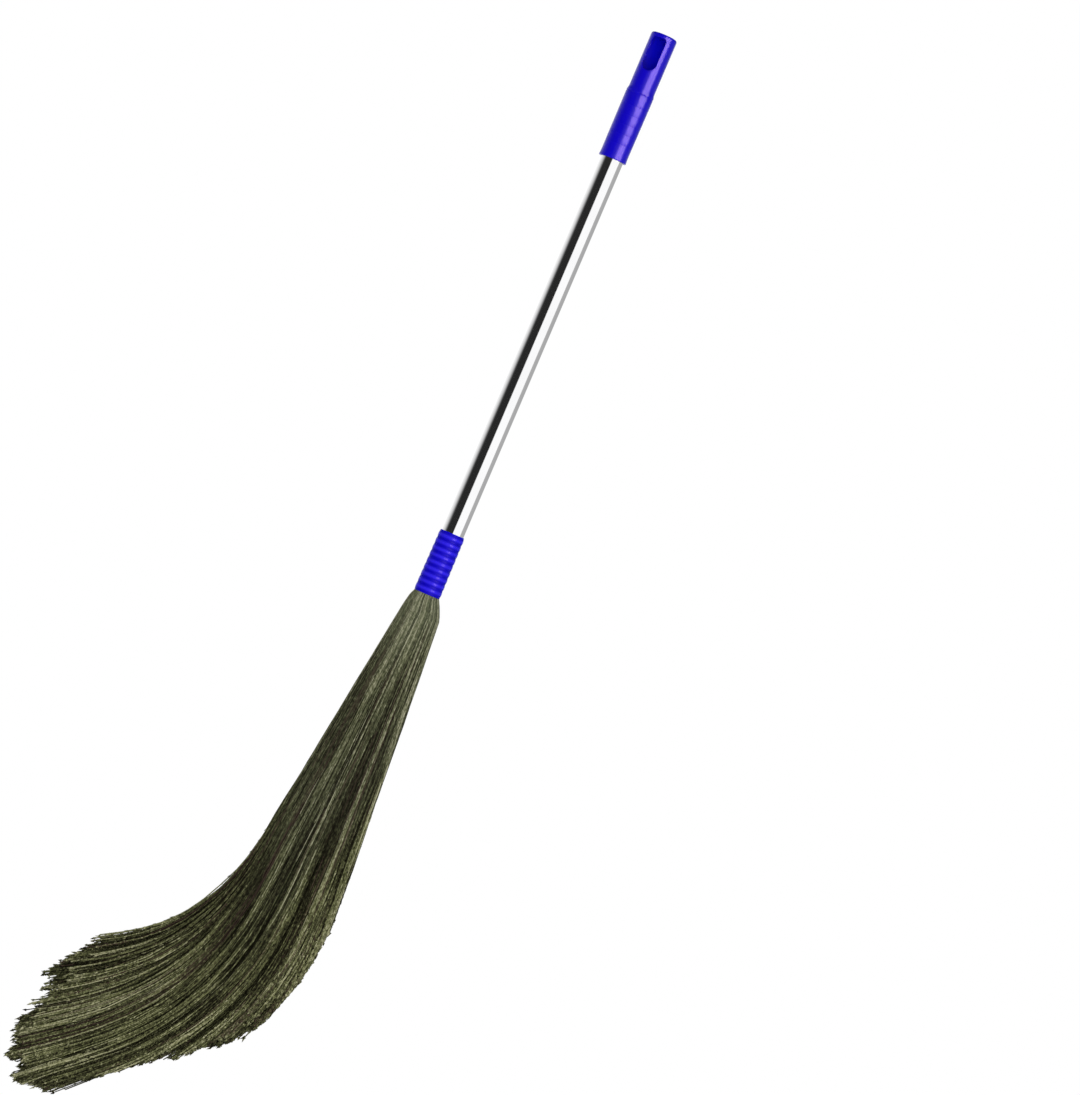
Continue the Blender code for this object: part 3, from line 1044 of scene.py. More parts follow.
def stored(tree: Tree, geometry: Value, name: str, value: Value) -> Value:
    """Stores a number on the points of a geometry.

    Args:
        tree: the tree.
        geometry: what gets it.
        name: the number's name.
        value: the number.

    Returns:
        The geometry with the number.
    """
    return tree.add(
        "GeometryNodeStoreNamedAttribute",
        {"data_type": "FLOAT", "domain": "POINT"},
        {"Geometry": geometry, "Name": name, "Value": value},
    )


def grown(name: str, group: bpy.types.NodeTree, values: Mapping[str, object]) -> bpy.types.Mesh:
    """What a geometry node tree makes, as a plain mesh.

    Args:
        name: the mesh's name.
        group: the tree.
        values: its inputs by name.

    Returns:
        The mesh.
    """
    source = link(name, bpy.data.meshes.new(name))
    modifier = source.modifiers.new("nodes", "NODES")
    modifier.node_group = group
    for item in group.interface.items_tree:
        if item.in_out == "INPUT":
            modifier[item.identifier] = values[item.name]
    source.update_tag()
    graph = bpy.context.evaluated_depsgraph_get()
    mesh = bpy.data.meshes.new_from_object(
        source.evaluated_get(graph), preserve_all_data_layers=True, depsgraph=graph
    )
    bpy.data.objects.remove(source, do_unlink=True)
    mesh.name = name
    return mesh


@dataclass(frozen=True)
class Collar:
    """The ribbed collar: its ribs follow a rule, so geometry nodes turn its section round."""

    levels: Levels
    wall: float = 0.0009
    flare: float = 0.0007
    lip: float = 0.0012
    lip_reach: float = 1.5
    lip_round: float = 0.2
    edge_share: float = 0.4
    ribs: int = 9
    rib_depth: float = 0.00042
    rib_power: float = 1.6
    crest_power: float = 1.5
    head_step: float = 0.0002
    mouth_rise: float = 0.0030
    mouth_flare: float = 0.0010
    rows: int = 220
    sides: int = 144
    sharp: float = 60
    finish: MouldedPlastic = MouldedPlastic(
        colour=(0.002, 0.0002, 0.480), dusty=(0.003, 0.0004, 0.530), worn=(0.030, 0.018, 0.820),
        roughness=0.26, groove_dull=0.20, specular=0.07,
    )

    def sizes(self) -> dict[str, float]:
        """The sizes that the tree takes in.

        Returns:
            The sizes by name.
        """
        own = (
            "wall", "flare", "lip", "lip_reach", "lip_round", "edge_share", "ribs", "rib_depth", "rib_power",
            "crest_power", "head_step", "mouth_rise", "mouth_flare",
        )
        return {key: float(getattr(self, key)) for key in own} | {
            "top": self.levels.collar_top,
            "mouth": self.levels.mouth,
            "bore": self.levels.bore,
            "closed": self.levels.lip,
            "step": self.levels.collar_top - self.levels.tube_bottom,
        }

    def tree(self) -> bpy.types.NodeTree:
        """Makes the tree that turns the collar's section round its axis.

        Returns:
            The tree.
        """
        inputs: dict[str, type] = {key: float for key in self.sizes()}
        inputs |= {"rows": int, "sides": int, "finish": bpy.types.Material}
        tree, size = new_nodes("collar_section", inputs)
        length = size.top - size.mouth
        head = size.bore + size.head_step
        inner_steps = (
            (head + size.mouth_flare, length),
            (head, length - size.mouth_rise),
            (head, size.step),
            (size.bore, size.step),
            (size.bore, size.lip_reach * size.lip),
            (size.closed, size.lip),
            (size.closed, size.lip_round * size.lip),
            (size.closed + size.lip_round * size.lip, 0 * size.lip),
        )
        index = tree.add("GeometryNodeInputIndex")
        outer_rows = size.rows - len(inner_steps)
        drop = (index / (outer_rows - 1)).at_most(1) * length
        turn = drop.share(size.lip, length - 2 * size.lip) * size.ribs
        wave = (math.tau * turn).cosine() * 0.5 + 0.5
        round_in = ((drop / size.lip).at_most(1) ** 0.5) * ((length - drop) / size.lip).at_most(1) ** 0.5
        crest = size.bore + size.wall + size.flare * drop / length
        ribbed = crest - size.rib_depth * wave ** size.rib_power
        outer = ribbed - size.edge_share * size.lip * (1 - round_in)
        place = index - outer_rows
        outside = 1 - index.above(outer_rows - 0.5)
        radius, level = outer * outside, drop * outside
        for i, (inner_radius, inner_drop) in enumerate(inner_steps):
            here = place.above(i - 0.5) * (1 - place.above(i + 0.5))
            radius = radius + here * inner_radius
            level = level + here * inner_drop
        line = tree.add("GeometryNodeMeshLine", {"mode": "OFFSET"}, {"Count": size.rows})
        # The crest share is where painted light goes on the rib crests.
        paler = (1 - wave) ** size.crest_power * outside
        line = stored(tree, line, "crest", paler * drop.above(size.lip) * (length - drop).above(size.lip))
        at = tree.point(radius - size.bore, level - size.top)
        line = tree.add("GeometryNodeSetPosition", None, {"Geometry": line, "Position": at})
        section = tree.add("GeometryNodeMeshToCurve", None, {0: line})
        section = tree.add("GeometryNodeSetSplineCyclic", None, {"Geometry": section, "Cyclic": True})
        circle = {"Resolution": size.sides, "Radius": size.bore}
        around = tree.add("GeometryNodeCurvePrimitiveCircle", {"mode": "RADIUS"}, circle)
        solid = tree.add("GeometryNodeCurveToMesh", None, {"Curve": around, "Profile Curve": section})
        return end_nodes(tree, solid, size.finish)

    def build(self) -> None:
        """Makes the collar and puts it in place."""
        counts = {"rows": self.rows, "sides": self.sides}
        values = {**self.sizes(), **counts, "finish": self.finish.material("collar_blue")}
        mesh = grown("collar_ribbed", self.tree(), values)
        shape = bmesh.new()
        shape.from_mesh(mesh)
        bmesh.ops.recalc_face_normals(shape, faces=shape.faces)
        shape.to_mesh(mesh)
        shape.free()
        mesh.shade_smooth()
        mesh.set_sharp_from_angle(angle=math.radians(self.sharp))
        set_piece("collar_ribbed", mesh, Slot.COLLAR, "collar")


@dataclass(frozen=True)
class HankPlan:
    """Where one hank lies in the bundle, how many stalks it has, how they bunch, and how dark painted shade
    makes its inner stalks.
    """

    node: str
    inner: float
    outer: float
    start: float
    end: float
    stalks: int
    locks_round: float
    locks_deep: float
    shade: float


@dataclass(frozen=True)
class Sweep:
    """How the bundle parts below the collar, leans, fans out and sweeps towards -X."""

    head_radius: float = 0.0101
    rise: float = 0.0030
    bulge_drop: float = 0.0040
    bulge_radius: float = 0.0139
    part_drop: float = 0.0200
    part_power: float = 1.2
    part_offset: float = 0.0017
    part_half_across: float = 0.0187
    part_half_deep: float = 0.0165
    lean_mean: float = math.radians(2.1)
    lean_spread: float = math.radians(6.0)
    deep_lean: float = math.tan(math.radians(3.0))
    sweep: float = math.radians(46)
    sweep_start: float = 0.2760
    sweep_run: float = 0.2940
    edge_sweep: float = math.radians(8)
    edge_start_shift: float = 0.0370
    edge_run_cut: float = 0.0750
    edge_power: float = 4.0
    longest: float = 0.6150
    ragged: float = 0.065
    inside: float = 0.0280


@dataclass(frozen=True)
class Stalks:
    """Sizes of the stalks and of the flower heads on their lower ends, how they bunch, and their tones."""

    stalk_radius: float = 0.00056
    slimmest: float = 0.7
    slim_spread: float = 0.6
    root_share: float = 0.80
    thick_share: float = 0.22
    tip_share: float = 1.20
    point_end: float = 1.006
    point_slope: float = 150.0
    lock_wear: float = 0.93
    own_wear: float = 0.07
    pull: float = 0.60
    pull_start: float = 0.08
    pull_run: float = 0.40
    wave: float = 0.0045
    wave_scale: float = 14.0
    wave_lock_shift: float = 3.1
    wave_own_shift: float = 0.5
    wave_run: float = 0.40
    wave_power: float = 0.8
    stray: float = 0.022
    stray_least: float = 0.5
    stray_more: float = 0.4
    stray_power: float = 4.0
    edge_calm: float = 0.6
    lock_stray: float = 0.027
    floret_length: float = 0.0044
    floret_radius: float = 0.00085
    floret_start: float = 0.50
    floret_run: float = 0.3
    floret_share: float = 0.85
    floret_tilt: float = 0.42
    floret_tone: float = 0.50
    floret_tone_mean: float = 0.40
    floret_end_start: float = 0.8
    floret_end_run: float = 0.2
    floret_end_extra: float = 0.7
    tone: float = 0.44
    darkest: float = 0.02
    streak: float = 2.00
    streak_least: float = 0.2
    streak_more: float = 0.8
    streak_start: float = 0.10
    streak_run: float = 0.22
    streak_rough: float = 0.75
    broad: float = 0.90
    broad_start: float = 0.1
    broad_run: float = 0.3
    broad_scale: float = 0.35
    head_shade_start: float = 0.56
    head_shade_run: float = 0.25
    each: float = 0.96
    each_lock: float = 0.20
    bright: float = 0.30
    bright_above: float = 0.89
    strip_start: float = 0.04
    strip_share: float = 0.92
    streaks_across: float = 12
    streaks_shift: float = 71
    streaks_deep: float = 6
    streaks_along: float = 4


@dataclass(frozen=True)
class Grass:
    """The bundle of dry grass, as hanks of stalks grown by geometry nodes."""

    levels: Levels
    sweep: Sweep = Sweep()
    stalks: Stalks = Stalks()
    core_share: float = 0.25
    inner_ring_share: float = 0.612
    inner_hanks: int = 5
    outer_hanks: int = 10
    core_stalks: int = 140
    inner_stalks: int = 220
    outer_stalks: int = 500
    # The third number of each is the hank's shade: the tone that painted shade leaves on its innermost
    # stalks.
    core_bunching: Colour = (3.0, 1.0, 0.35)
    inner_bunching: Colour = (2.0, 2.0, 0.4)
    outer_bunching: Colour = (3.0, 2.0, 0.45)
    lock_places: tuple[float, float] = (0.25, 0.75)
    pull_shares: tuple[float, float] = (0.45, 1)
    floret_widths: tuple[float, float] = (0.6, 1.4)
    floret_lengths: tuple[float, float] = (0.5, 1.2)
    points: int = 28
    head_points: int = 5
    floret_places: int = 58
    stalk_sides: int = 3
    map_margin: float = 0.02
    map_span: float = 0.96
    match: float = 0.02
    seed: int = 11
    seed_step: int = 100
    length_shares: Curve = (
        (-1.0, 0.760), (-0.9, 0.830), (-0.7, 0.930), (-0.45, 0.985), (-0.2, 0.995), (0.05, 0.980),
        (0.2, 0.860), (0.4, 0.780), (0.7, 0.730), (1.0, 0.530),
    )
    # Painted light and shade across the bundle, by place along X: darker towards -X and in a deep crease near
    # 0.32.
    shade_shares: Curve = (
        (-1.0, 0.72), (-0.7, 0.60), (-0.45, 0.72), (-0.25, 0.84), (-0.1, 0.96), (0.1, 1.02), (0.23, 0.78),
        (0.32, 0.36), (0.41, 0.74), (0.6, 0.82), (0.8, 0.88), (1.0, 0.88),
    )
    # Painted light and shade near the tips, by place along X, taking over from shade_shares.
    tip_shares: Curve = (
        (-1.0, 0.92), (-0.8, 0.94), (-0.6, 1.12), (-0.43, 0.90), (-0.3, 0.76), (-0.15, 1.08), (0.0, 0.98),
        (0.2, 0.88), (0.45, 0.82), (0.7, 0.84), (1.0, 0.90),
    )
    finish: DryGrass = DryGrass()

    def plans(self) -> list[HankPlan]:
        """The hanks: one in the middle, an inner and an outer ring.

        Returns:
            Their plans, from the middle out.
        """
        core, ring = self.core_share, self.inner_ring_share
        rings = (
            (0.0, core, 1, self.core_stalks, self.core_bunching),
            (core, ring, self.inner_hanks, self.inner_stalks, self.inner_bunching),
            (ring, 1.0, self.outer_hanks, self.outer_stalks, self.outer_bunching),
        )
        plans: list[HankPlan] = []
        for inner, outer, hanks, stalks, bunching in rings:
            for i in range(hanks):
                start, end = math.tau * i / hanks, math.tau * (i + 1) / hanks
                node = f"grass_hank_{len(plans) + 1:02d}"
                plans.append(HankPlan(node, inner, outer, start, end, stalks, *bunching))
        return plans

    @staticmethod
    def path(
        tree: Tree, size: SimpleNamespace, across: Value, deep: Value, run: SimpleNamespace
    ) -> tuple[Value, Value, Value]:
        """Where a stalk lies at each of its points.

        Args:
            tree: the tree.
            size: the tree's inputs.
            across: the stalk's place along X, as a share.
            deep: its place along Y, as a share.
            run: its points' distance from the mouth, the step between them, whose they are and their stray.

        Returns:
            X, Y, and Z from the mouth up.
        """
        edge = (-across).at_least(0) ** size.edge_power
        start = size.sweep_start - size.edge_start_shift * edge
        reach = size.sweep_run - size.edge_run_cut * edge
        middle = run.at - run.step / 2
        bend = (size.sweep + size.edge_sweep * edge) * middle.share(start, reach).eased()
        angle = size.lean_mean - size.lean_spread * across + bend + run.stray
        parted = middle.above(size.part_drop)
        bulged = run.at.share(-size.rise, size.bulge_drop + size.rise)
        opening = run.at.share(size.bulge_drop, size.part_drop - size.bulge_drop)
        opened = 1 - (1 - opening) ** size.part_power

        def summed(value: Value) -> Value:
            """The sum of a slope over the steps of a stalk, up to each point."""
            steps = {"Value": value * run.step, "Group Index": run.whose}
            return tree.add("GeometryNodeAccumulateField", None, steps)

        bulge = size.head_radius + (size.bulge_radius - size.head_radius) * bulged
        half_across = bulge + (size.part_half_across - size.bulge_radius) * opened
        half_deep = bulge + (size.part_half_deep - size.bulge_radius) * opened
        x = size.part_offset * opened + half_across * across - summed(parted * angle.sine())
        y = deep * (half_deep + (run.at - size.part_drop).at_least(0) * size.deep_lean)
        z = size.inside - summed(parted * angle.cosine() + (1 - parted))
        return x, y, z

    @staticmethod
    def by_place(tree: Tree, across: Value, shares: Curve) -> Value:
        """A share, up to 2, that follows a stalk's place along X by a curve."""
        points = [((place + 1) / 2, share / 2) for place, share in shares]
        return 2 * tree.add("ShaderNodeFloatCurve", {"points": points}, {"Value": across * 0.5 + 0.5})

    def tree(self) -> bpy.types.NodeTree:
        """Makes the tree that grows one hank.

        Returns:
            The tree.
        """
        inputs: dict[str, type] = {f.name: float for f in (*fields(Sweep), *fields(Stalks))}
        inputs |= {f.name: f.type for f in fields(HankPlan) if f.name != "node"}
        inputs |= {key: int for key in ("points", "head_points", "floret_places", "seed")}
        inputs |= {"mouth": float, "finish": bpy.types.Material}
        tree, size = new_nodes("grass_hank", inputs)

        def drawn(whose: Value, place: int, low: float = 0, high: float = 1) -> Value:
            """A number from low to high, the same at every point of whose it is, by a seed's place."""
            sockets = {"Min_001": low, "Max_001": high, "ID": whose, "Seed": size.seed + place}
            return tree.add("FunctionNodeRandomValue", {"data_type": "FLOAT"}, sockets)

        index = tree.add("GeometryNodeInputIndex")
        whose = ((index + 0.5) / size.points).floor()
        round_share, deep_share = drawn(whose, 1), drawn(whose, 2)

        def place(round_at: Value, deep_at: Value) -> tuple[Value, Value]:
            """A place in the hank's section.

            Args:
                round_at: its share of the way round the hank.
                deep_at: its share of the section outwards.

            Returns:
                Across and deep.
            """
            turn = size.start + (size.end - size.start) * round_at
            radius = (size.inner ** 2 + (size.outer ** 2 - size.inner ** 2) * deep_at) ** 0.5
            return radius * turn.cosine(), radius * turn.sine()

        across, deep = place(round_share, deep_share)
        lock_round = (round_share * size.locks_round).floor()
        lock_deep = (deep_share * size.locks_deep).floor()
        lock = lock_round + 10 * lock_deep
        lock_across, lock_middle = place(
            (lock_round + drawn(lock, 3, *self.lock_places)) / size.locks_round,
            (lock_deep + drawn(lock, 4, *self.lock_places)) / size.locks_deep,
        )
        wear = size.lock_wear * drawn(lock, 5) + size.own_wear * drawn(whose, 6)
        span = self.by_place(tree, across, self.length_shares)
        length = size.longest * span * (1 - size.ragged * wear)
        fine = (size.part_drop + size.rise) / size.head_points
        coarse = (length - size.part_drop) / (size.points - 2 - size.head_points)

        def station(number: Value) -> Value:
            """How far below the mouth a point of a stalk lies.

            Args:
                number: the point's number: the first is inside, the next in the head, the rest below.

            Returns:
                The distance along the stalk.
            """
            inside = (size.inside - size.rise) * number.share(0, 1) - size.inside
            head = fine * (number - 1).at_least(0).at_most(size.head_points)
            return inside + head + coarse * (number - 1 - size.head_points).at_least(0)

        number = index - whose * size.points
        at = station(number)
        along = at.share(0, length)
        late = at.share(size.pull_start, size.pull_run).eased()
        kept = 1 - size.edge_calm * across.magnitude() ** size.edge_power
        own_stray = size.stray_least + size.stray_more * drawn(whose, 15) ** size.stray_power
        own_stray = drawn(whose, 8, -1, 1) * own_stray * size.stray
        stray = late * kept * (drawn(lock, 7, -1, 1) * size.lock_stray + own_stray)
        run = SimpleNamespace(at=at, step=at - station(number - 1), whose=whose, stray=stray)
        own = self.path(tree, size, across, deep, run)
        centre = self.path(tree, size, lock_across, lock_middle, run)
        pull = late * size.pull * drawn(whose, 9, *self.pull_shares)
        raw = tree.point(*(here + (there - here) * pull for here, there in zip(own, centre)))
        shift = lock * size.wave_lock_shift + size.wave_own_shift * drawn(whose, 13)
        sockets = {"Vector": raw, "W": shift, "Scale": size.wave_scale, "Detail": 2}
        wave = tree.add("ShaderNodeTexNoise", {"noise_dimensions": "4D"}, sockets, "Color")
        wave = tree.vector("SUBTRACT", {0: wave, 1: (0.5, 0.5, 0.5)})
        grow = at.share(0, size.wave_run) ** size.wave_power * size.wave * 2
        wave = tree.vector("SCALE", {"Vector": wave, "Scale": grow})
        spot = tree.vector("ADD", {0: raw, 1: wave})
        spot = tree.vector("ADD", {0: spot, 1: tree.point(z=size.mouth)})
        # Painted light and shade by place along X, changing to the tips' own curve further down.
        bands = self.by_place(tree, across, self.shade_shares)
        shade_at_tips = self.by_place(tree, across, self.tip_shares)
        where = tree.point(
            across * size.streaks_across + size.streaks_shift,
            deep * size.streaks_deep,
            along * size.streaks_along,
        )
        sockets = {"Vector": where, "Scale": 1.0, "Detail": 3, "Roughness": size.streak_rough}
        streak = tree.add("ShaderNodeTexNoise", None, sockets)
        sockets = {"Vector": where, "Scale": size.broad_scale, "Detail": 1}
        broad = tree.add("ShaderNodeTexNoise", None, sockets)
        bands = bands + along.share(size.head_shade_start, size.head_shade_run).eased() * (shade_at_tips - bands)
        # Painted shade: stalks deeper in the hank are darker.
        depth = size.shade + (1 - size.shade) * deep_share
        bright = drawn(whose, 14).above(size.bright_above) * size.bright
        risen = size.streak_least + size.streak_more * along.share(size.streak_start, size.streak_run)
        streak = size.streak * risen * (streak - 0.5)
        streak = streak + size.broad * along.share(size.broad_start, size.broad_run) * (broad - 0.5)
        tint = size.tone + streak + size.each * (drawn(whose, 11) - 0.5) + bright
        tint = tint + size.each_lock * (drawn(lock, 10) - 0.5)
        tint = (tint * depth * bands).at_least(size.darkest)
        cloud = tree.add("GeometryNodePoints", None, {"Count": size.stalks * size.points, "Radius": 1.0})
        for name, value in (
            ("tint", tint), ("along", along), ("odd", drawn(whose, 12)),
            ("strip", (whose + size.strip_start) / size.stalks),
            ("strip_width", size.strip_share / size.stalks),
        ):
            cloud = stored(tree, cloud, name, value)
        cloud = tree.add("GeometryNodeSetPosition", None, {"Geometry": cloud, "Position": spot})
        order = {"Points": cloud, "Curve Group ID": whose, "Weight": number}
        lines = tree.add("GeometryNodePointsToCurves", None, order)
        both = tree.add("GeometryNodeJoinGeometry", None, {0: self.shafts(tree, size, lines)})
        tree.feed(both.socket.node.inputs[0], self.florets(tree, size, lines, drawn))
        return end_nodes(tree, self.mapped(tree, both), size.finish)

    @staticmethod
    def named(tree: Tree, name: str) -> Value:
        """An attribute by its name."""
        return tree.add("GeometryNodeInputNamedAttribute", {"data_type": "FLOAT"}, {"Name": name})

    def shafts(self, tree: Tree, size: SimpleNamespace, lines: Value) -> Value:
        """Three-sided stalks along the lines, fine at the collar and fuller towards the blunt tips.

        Args:
            tree: the tree.
            size: the tree's inputs.
            lines: a curve for each stalk.

        Returns:
            The stalks.
        """
        along = self.named(tree, "along")
        full = size.root_share + (1 - size.root_share) * along.share(0, size.thick_share)
        full = full + (size.tip_share - 1) * along
        point = ((size.point_end - along) * size.point_slope).at_most(1)
        slim = size.slimmest + size.slim_spread * self.named(tree, "odd")
        thickness = size.stalk_radius * slim * full * point
        circle = {"Resolution": self.stalk_sides, "Radius": 1.0}
        ring = tree.add("GeometryNodeCurvePrimitiveCircle", {"mode": "RADIUS"}, circle)
        ring = stored(tree, ring, "around", tree.add("GeometryNodeInputIndex") / self.stalk_sides)
        sockets = {"Curve": lines, "Profile Curve": ring, "Scale": thickness, "Fill Caps": True}
        return tree.add("GeometryNodeCurveToMesh", None, sockets)

    def florets(
        self, tree: Tree, size: SimpleNamespace, lines: Value, drawn: Callable[..., Value]
    ) -> Value:
        """Slim heads on the lower ends of the stalks, each leaning a little off its stalk.

        Args:
            tree: the tree.
            size: the tree's inputs.
            lines: a curve for each stalk.
            drawn: what gives random numbers.

        Returns:
            The heads, as instances.
        """
        spots = tree.add("GeometryNodeCurveToPoints", None, {"Curve": lines, "Count": size.floret_places})
        facing = spots.beside("Rotation")
        index = tree.add("GeometryNodeInputIndex")
        along = self.named(tree, "along")
        thick = along.share(size.floret_start, size.floret_run) * size.floret_share
        chosen = along.above(size.floret_start) * (1 - drawn(index, 20).above(thick))
        tint = self.named(tree, "tint") + size.floret_tone * (drawn(index, 25) - size.floret_tone_mean)
        spots = stored(tree, spots, "tint", tint)
        sockets = {"Vertices": self.stalk_sides, "Side Segments": 1, "Radius Top": 0.0}
        sockets |= {"Radius Bottom": size.floret_radius, "Depth": size.floret_length}
        cone = tree.add("GeometryNodeMeshCone", {"fill_type": "NGON"}, sockets)
        cone = stored(tree, cone, "around", tree.add("GeometryNodeInputIndex") / self.stalk_sides)
        tilt = tree.point(*(drawn(index, place, -1, 1) * size.floret_tilt for place in (21, 22)))
        sockets = {"Rotation": facing, "Rotate By": tilt}
        turned = tree.add("FunctionNodeRotateRotation", {"rotation_space": "LOCAL"}, sockets)
        end = along.share(size.floret_end_start, size.floret_end_run)
        wide = drawn(index, 23, *self.floret_widths) * (1 + size.floret_end_extra * end)
        sockets = {"Points": spots, "Selection": chosen, "Instance": cone, "Rotation": turned}
        sockets["Scale"] = tree.point(wide, wide, drawn(index, 24, *self.floret_lengths))
        return tree.add("GeometryNodeInstanceOnPoints", None, sockets)

    def mapped(self, tree: Tree, geometry: Value) -> Value:
        """Gives each stalk its own strip of a flat map, as wide as it goes round.

        Args:
            tree: the tree.
            geometry: the stalks and their heads.

        Returns:
            The geometry with its map.
        """
        real = tree.add("GeometryNodeRealizeInstances", None, {"Geometry": geometry})
        around = self.named(tree, "around")
        mean = tree.add("GeometryNodeFieldOnDomain", {"domain": "FACE", "data_type": "FLOAT"}, {0: around})
        closing = 1 - (mean - 1 / self.stalk_sides).magnitude().above(self.match)
        last = closing * (1 - around.above(self.match))
        u = self.named(tree, "strip") + self.named(tree, "strip_width") * (around + last)
        v = self.map_margin + self.map_span * self.named(tree, "along")
        return tree.add(
            "GeometryNodeStoreNamedAttribute",
            {"data_type": "FLOAT2", "domain": "CORNER"},
            {"Geometry": real, "Name": "OFBake", "Value": tree.point(u, v)},
        )

    def build(self) -> None:
        """Grows every hank and puts it in place."""
        group = self.tree()
        shared = {f.name: getattr(part, f.name) for part in (self.sweep, self.stalks) for f in fields(part)}
        shared |= {key: getattr(self, key) for key in ("points", "head_points", "floret_places")}
        shared |= {"mouth": self.levels.mouth, "finish": self.finish.material("dry_grass")}
        for place, plan in enumerate(self.plans()):
            own = {f.name: getattr(plan, f.name) for f in fields(plan)}
            own["seed"] = self.seed + self.seed_step * place
            mesh = grown(f"{plan.node}_stalks", group, {**shared, **own})
            mesh.shade_smooth()
            set_piece(f"{plan.node}_stalks", mesh, Slot.GRASS, plan.node)


@dataclass(frozen=True)
class HeadFixings:
    """What the collar hides: the wooden plug, its nail and the wires round the grass."""

    wood: TurnedWood = TurnedWood()
    wire: BrightWire = BrightWire()

    def build(self) -> None:
        """Finishes the hidden pieces."""
        steel = self.wire.material("bright_wire")
        dress_node("tube_plug", self.wood.material("turned_wood"))
        dress_node("centre_nail", steel)
        dress_node("binding_wire_upper", steel)
        dress_node("binding_wire_lower", steel)


@dataclass(frozen=True)
class Lamp:
    """A soft box that faces the broom, for every piece or for only one."""

    name: str
    bearing: float
    height: float
    distance: float
    width: float
    tall: float
    radiance: float
    only: str = ""


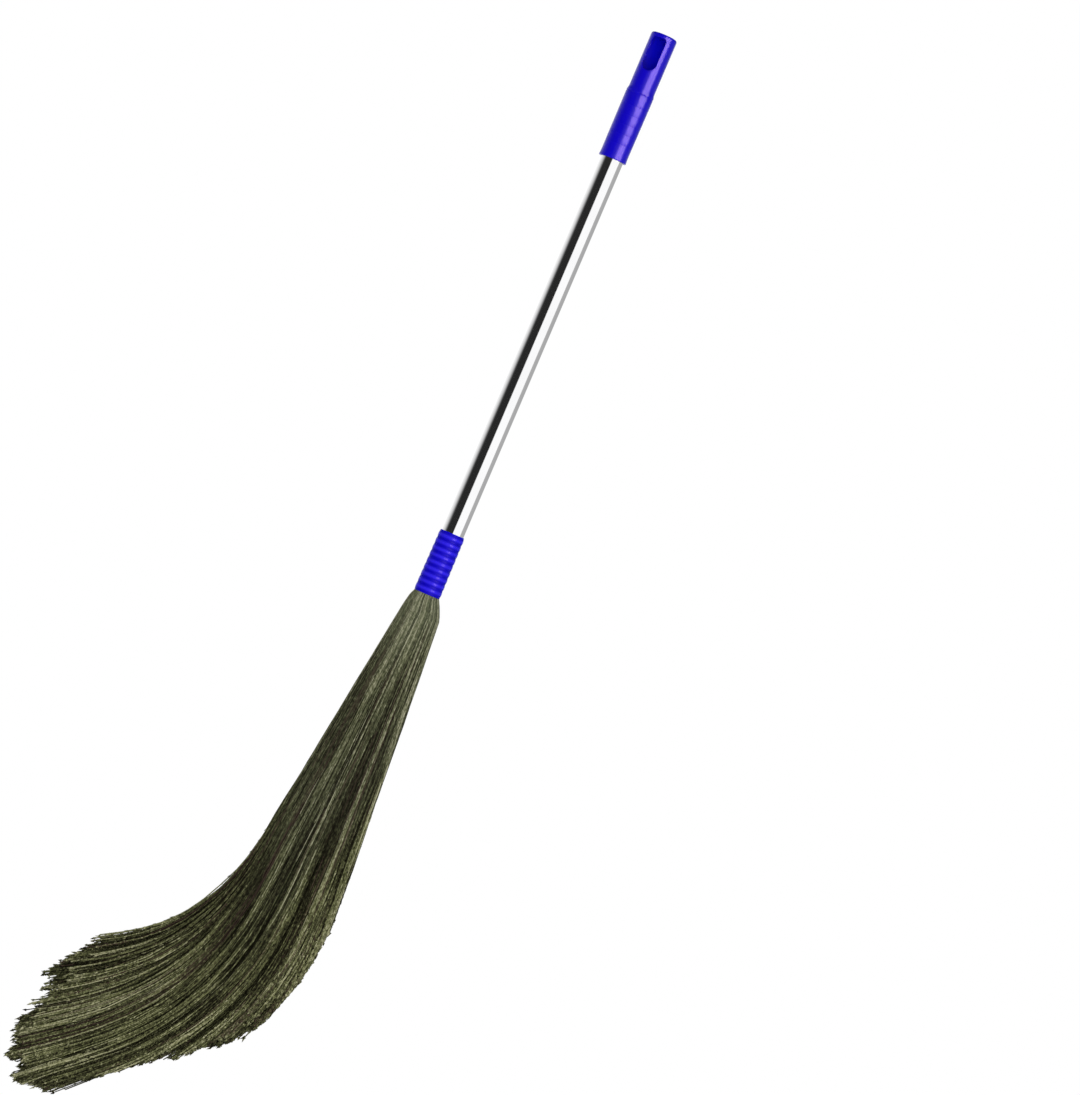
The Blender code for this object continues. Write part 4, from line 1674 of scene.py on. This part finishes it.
@dataclass(frozen=True)
class Studio:
    """White surroundings, soft boxes and the floor below the hanging broom."""

    floor_drop: float = 0.50
    floor_radius: float = 3.0
    floor_sides: int = 128
    floor_colour: Colour = (0.8, 0.8, 0.8)
    floor_glow: float = 0.66
    floor_mirrored: float = 0.30
    middle: float = -0.52
    daylight: float = 0.42
    above: float = 0.15
    below: float = 0.06
    band_rise: float = 0.12
    band_fade: float = 0.30
    lamps: tuple[Lamp, ...] = (
        Lamp("key_box", 14, -0.35, 1.7, 1.7, 2.0, 2.1),
        Lamp("back_box", 205, -0.10, 1.9, 1.5, 2.0, 1.2),
        Lamp("grip_strip", 42, 0.45, 1.7, 1.7, 1.6, 12.5, "grip_shell"),
        Lamp("collar_strip", 36, -0.50, 1.7, 0.9, 0.34, 36, "collar_ribbed"),
    )
    bands: Curve = (
        (0.000, 1.25), (0.110, 1.25), (0.170, 1.10), (0.214, 0.90), (0.253, 0.62), (0.290, 0.22),
        (0.315, 0.045), (0.350, 0.026), (0.505, 0.026), (0.513, 1.30),
        (0.722, 1.30), (0.730, 0.56), (0.900, 0.50), (0.950, 1.25),
    )

    def build(self) -> None:
        """Sets up the world, the lamps and the floor."""
        self.light_world()
        for lamp in self.lamps:
            self.add_lamp(lamp)
        self.lay_floor()

    def light_world(self) -> None:
        """White to the camera, a banded studio to bright metal, and an even soft light."""
        world = bpy.data.worlds.new("studio")
        bpy.context.scene.world = world
        world.use_nodes = True
        tree = Tree(world.node_tree)
        way = tree.add("ShaderNodeTexCoord", output="Generated")
        x, y, z = (tree.add("ShaderNodeSeparateXYZ", None, {0: way}, output=axis) for axis in "XYZ")
        bearing = x.maths("ARCTAN2", x, -y) / math.tau + 0.5
        peak = max(level for _, level in self.bands)
        stops = [(place, (level / peak,) * 3) for place, level in self.bands]
        bands = tree.add("ShaderNodeValToRGB", {"stops": stops}, {"Fac": bearing})
        banded = tree.add("ShaderNodeRGBToBW", None, {0: bands}) * peak
        aloft = z.magnitude().share(self.band_rise, self.band_fade).eased()
        over = self.below + (self.above - self.below) * z.above(0)
        level = banded + (over - banded) * aloft
        shown = tree.ray("Is Camera Ray").at_least(tree.ray("Is Transmission Ray"))
        glossy = tree.ray("Is Glossy Ray") * (1 - shown)
        light = shown + glossy * level + (1 - shown - glossy) * self.daylight
        background = world.node_tree.nodes["Background"]
        background.inputs["Color"].default_value = (1, 1, 1, 1)
        tree.feed(background.inputs["Strength"], light)

    def add_lamp(self, lamp: Lamp) -> None:
        """Hangs one soft box, facing the middle of the broom.

        Args:
            lamp: where it hangs, its size and its light.
        """
        light = bpy.data.lights.new(lamp.name, "AREA")
        light.shape = "RECTANGLE"
        light.size, light.size_y = lamp.width, lamp.tall
        light.energy = lamp.radiance * math.pi * lamp.width * lamp.tall
        turn = math.radians(lamp.bearing)
        place = Vector((lamp.distance * math.sin(turn), -lamp.distance * math.cos(turn), lamp.height))
        shown = bpy.data.objects.new(lamp.name, light)
        shown.visible_glossy = bool(lamp.only)
        shown.visible_diffuse = not lamp.only
        if lamp.only:
            lit = bpy.data.collections.new(lamp.name)
            lit.objects.link(bpy.data.objects[lamp.only])
            shown.light_linking.receiver_collection = lit
        aim = Vector((0, 0, self.middle)) - place
        shown.matrix_world = Matrix.Translation(place) @ aim.to_track_quat("-Z", "Y").to_matrix().to_4x4()
        bpy.context.scene.collection.objects.link(shown)

    def lay_floor(self) -> None:
        """A wide pale floor that keeps the broom's shadow, and that bright metal mirrors dimmed."""
        place = Matrix.Translation((0, 0, cad_box[0].z - self.floor_drop))
        mesh = bpy.data.meshes.new("floor")
        shape = bmesh.new()
        bmesh.ops.create_circle(
            shape, cap_ends=True, segments=self.floor_sides, radius=self.floor_radius, matrix=place
        )
        shape.to_mesh(mesh)
        shape.free()
        finish = Finish("pale_floor")
        seen = finish.ray("Is Camera Ray").at_least(finish.ray("Is Transmission Ray"))
        seen = seen.at_least(self.floor_mirrored * finish.ray("Is Glossy Ray"))
        finish.give(
            Base_Color=(*self.floor_colour, 1), Roughness=1.0, Specular_IOR_Level=0,
            Emission_Color=(1, 1, 1, 1), Emission_Strength=self.floor_glow * seen,
        )
        mesh.materials.append(finish.material)
        link("floor", mesh)


@dataclass(frozen=True)
class Photo:
    """The photograph's frame and where the broom lies in it, for the camera."""

    width_px: float = 1080
    height_px: float = 1095
    mouth_px: tuple[float, float] = (426.85, 593.95)
    pixel: float = 0.00092
    lean: float = math.radians(23.1)
    distance: float = 4.0
    sensor: float = 36.0

    def add_camera(self, mouth: float) -> None:
        """Sets up the camera, square to the fan and rolled by the handle's lean.

        Args:
            mouth: height of the collar's mouth.
        """
        right = self.width_px / 2 - self.mouth_px[0]
        down = self.height_px / 2 - self.mouth_px[1]
        along = (right * math.cos(self.lean) + down * math.sin(self.lean)) * self.pixel
        below = (down * math.cos(self.lean) - right * math.sin(self.lean)) * self.pixel
        data = bpy.data.cameras.new("camera")
        data.sensor_width = self.sensor
        data.lens = self.sensor * self.distance / (self.height_px * self.pixel)
        camera = bpy.data.objects.new("camera", data)
        cos, sin = math.cos(self.lean), math.sin(self.lean)
        camera.matrix_world = Matrix((
            (cos, -sin, 0, along),
            (0, 0, -1, -self.distance),
            (sin, cos, 0, mouth - below),
            (0, 0, 0, 1),
        ))
        bpy.context.scene.collection.objects.link(camera)
        bpy.context.scene.camera = camera


def main() -> None:
    """Builds the broom and its studio."""
    logging.basicConfig(level=logging.INFO, format="%(name)s: %(message)s")
    bpy.context.scene.view_settings.view_transform = "Standard"
    levels = Levels()
    Photo().add_camera(levels.mouth)
    Grip(levels).build()
    HandleTube(levels).build()
    Collar(levels).build()
    Grass(levels).build()
    HeadFixings().build()
    Studio().build()


if __name__ == "__main__":
    main()
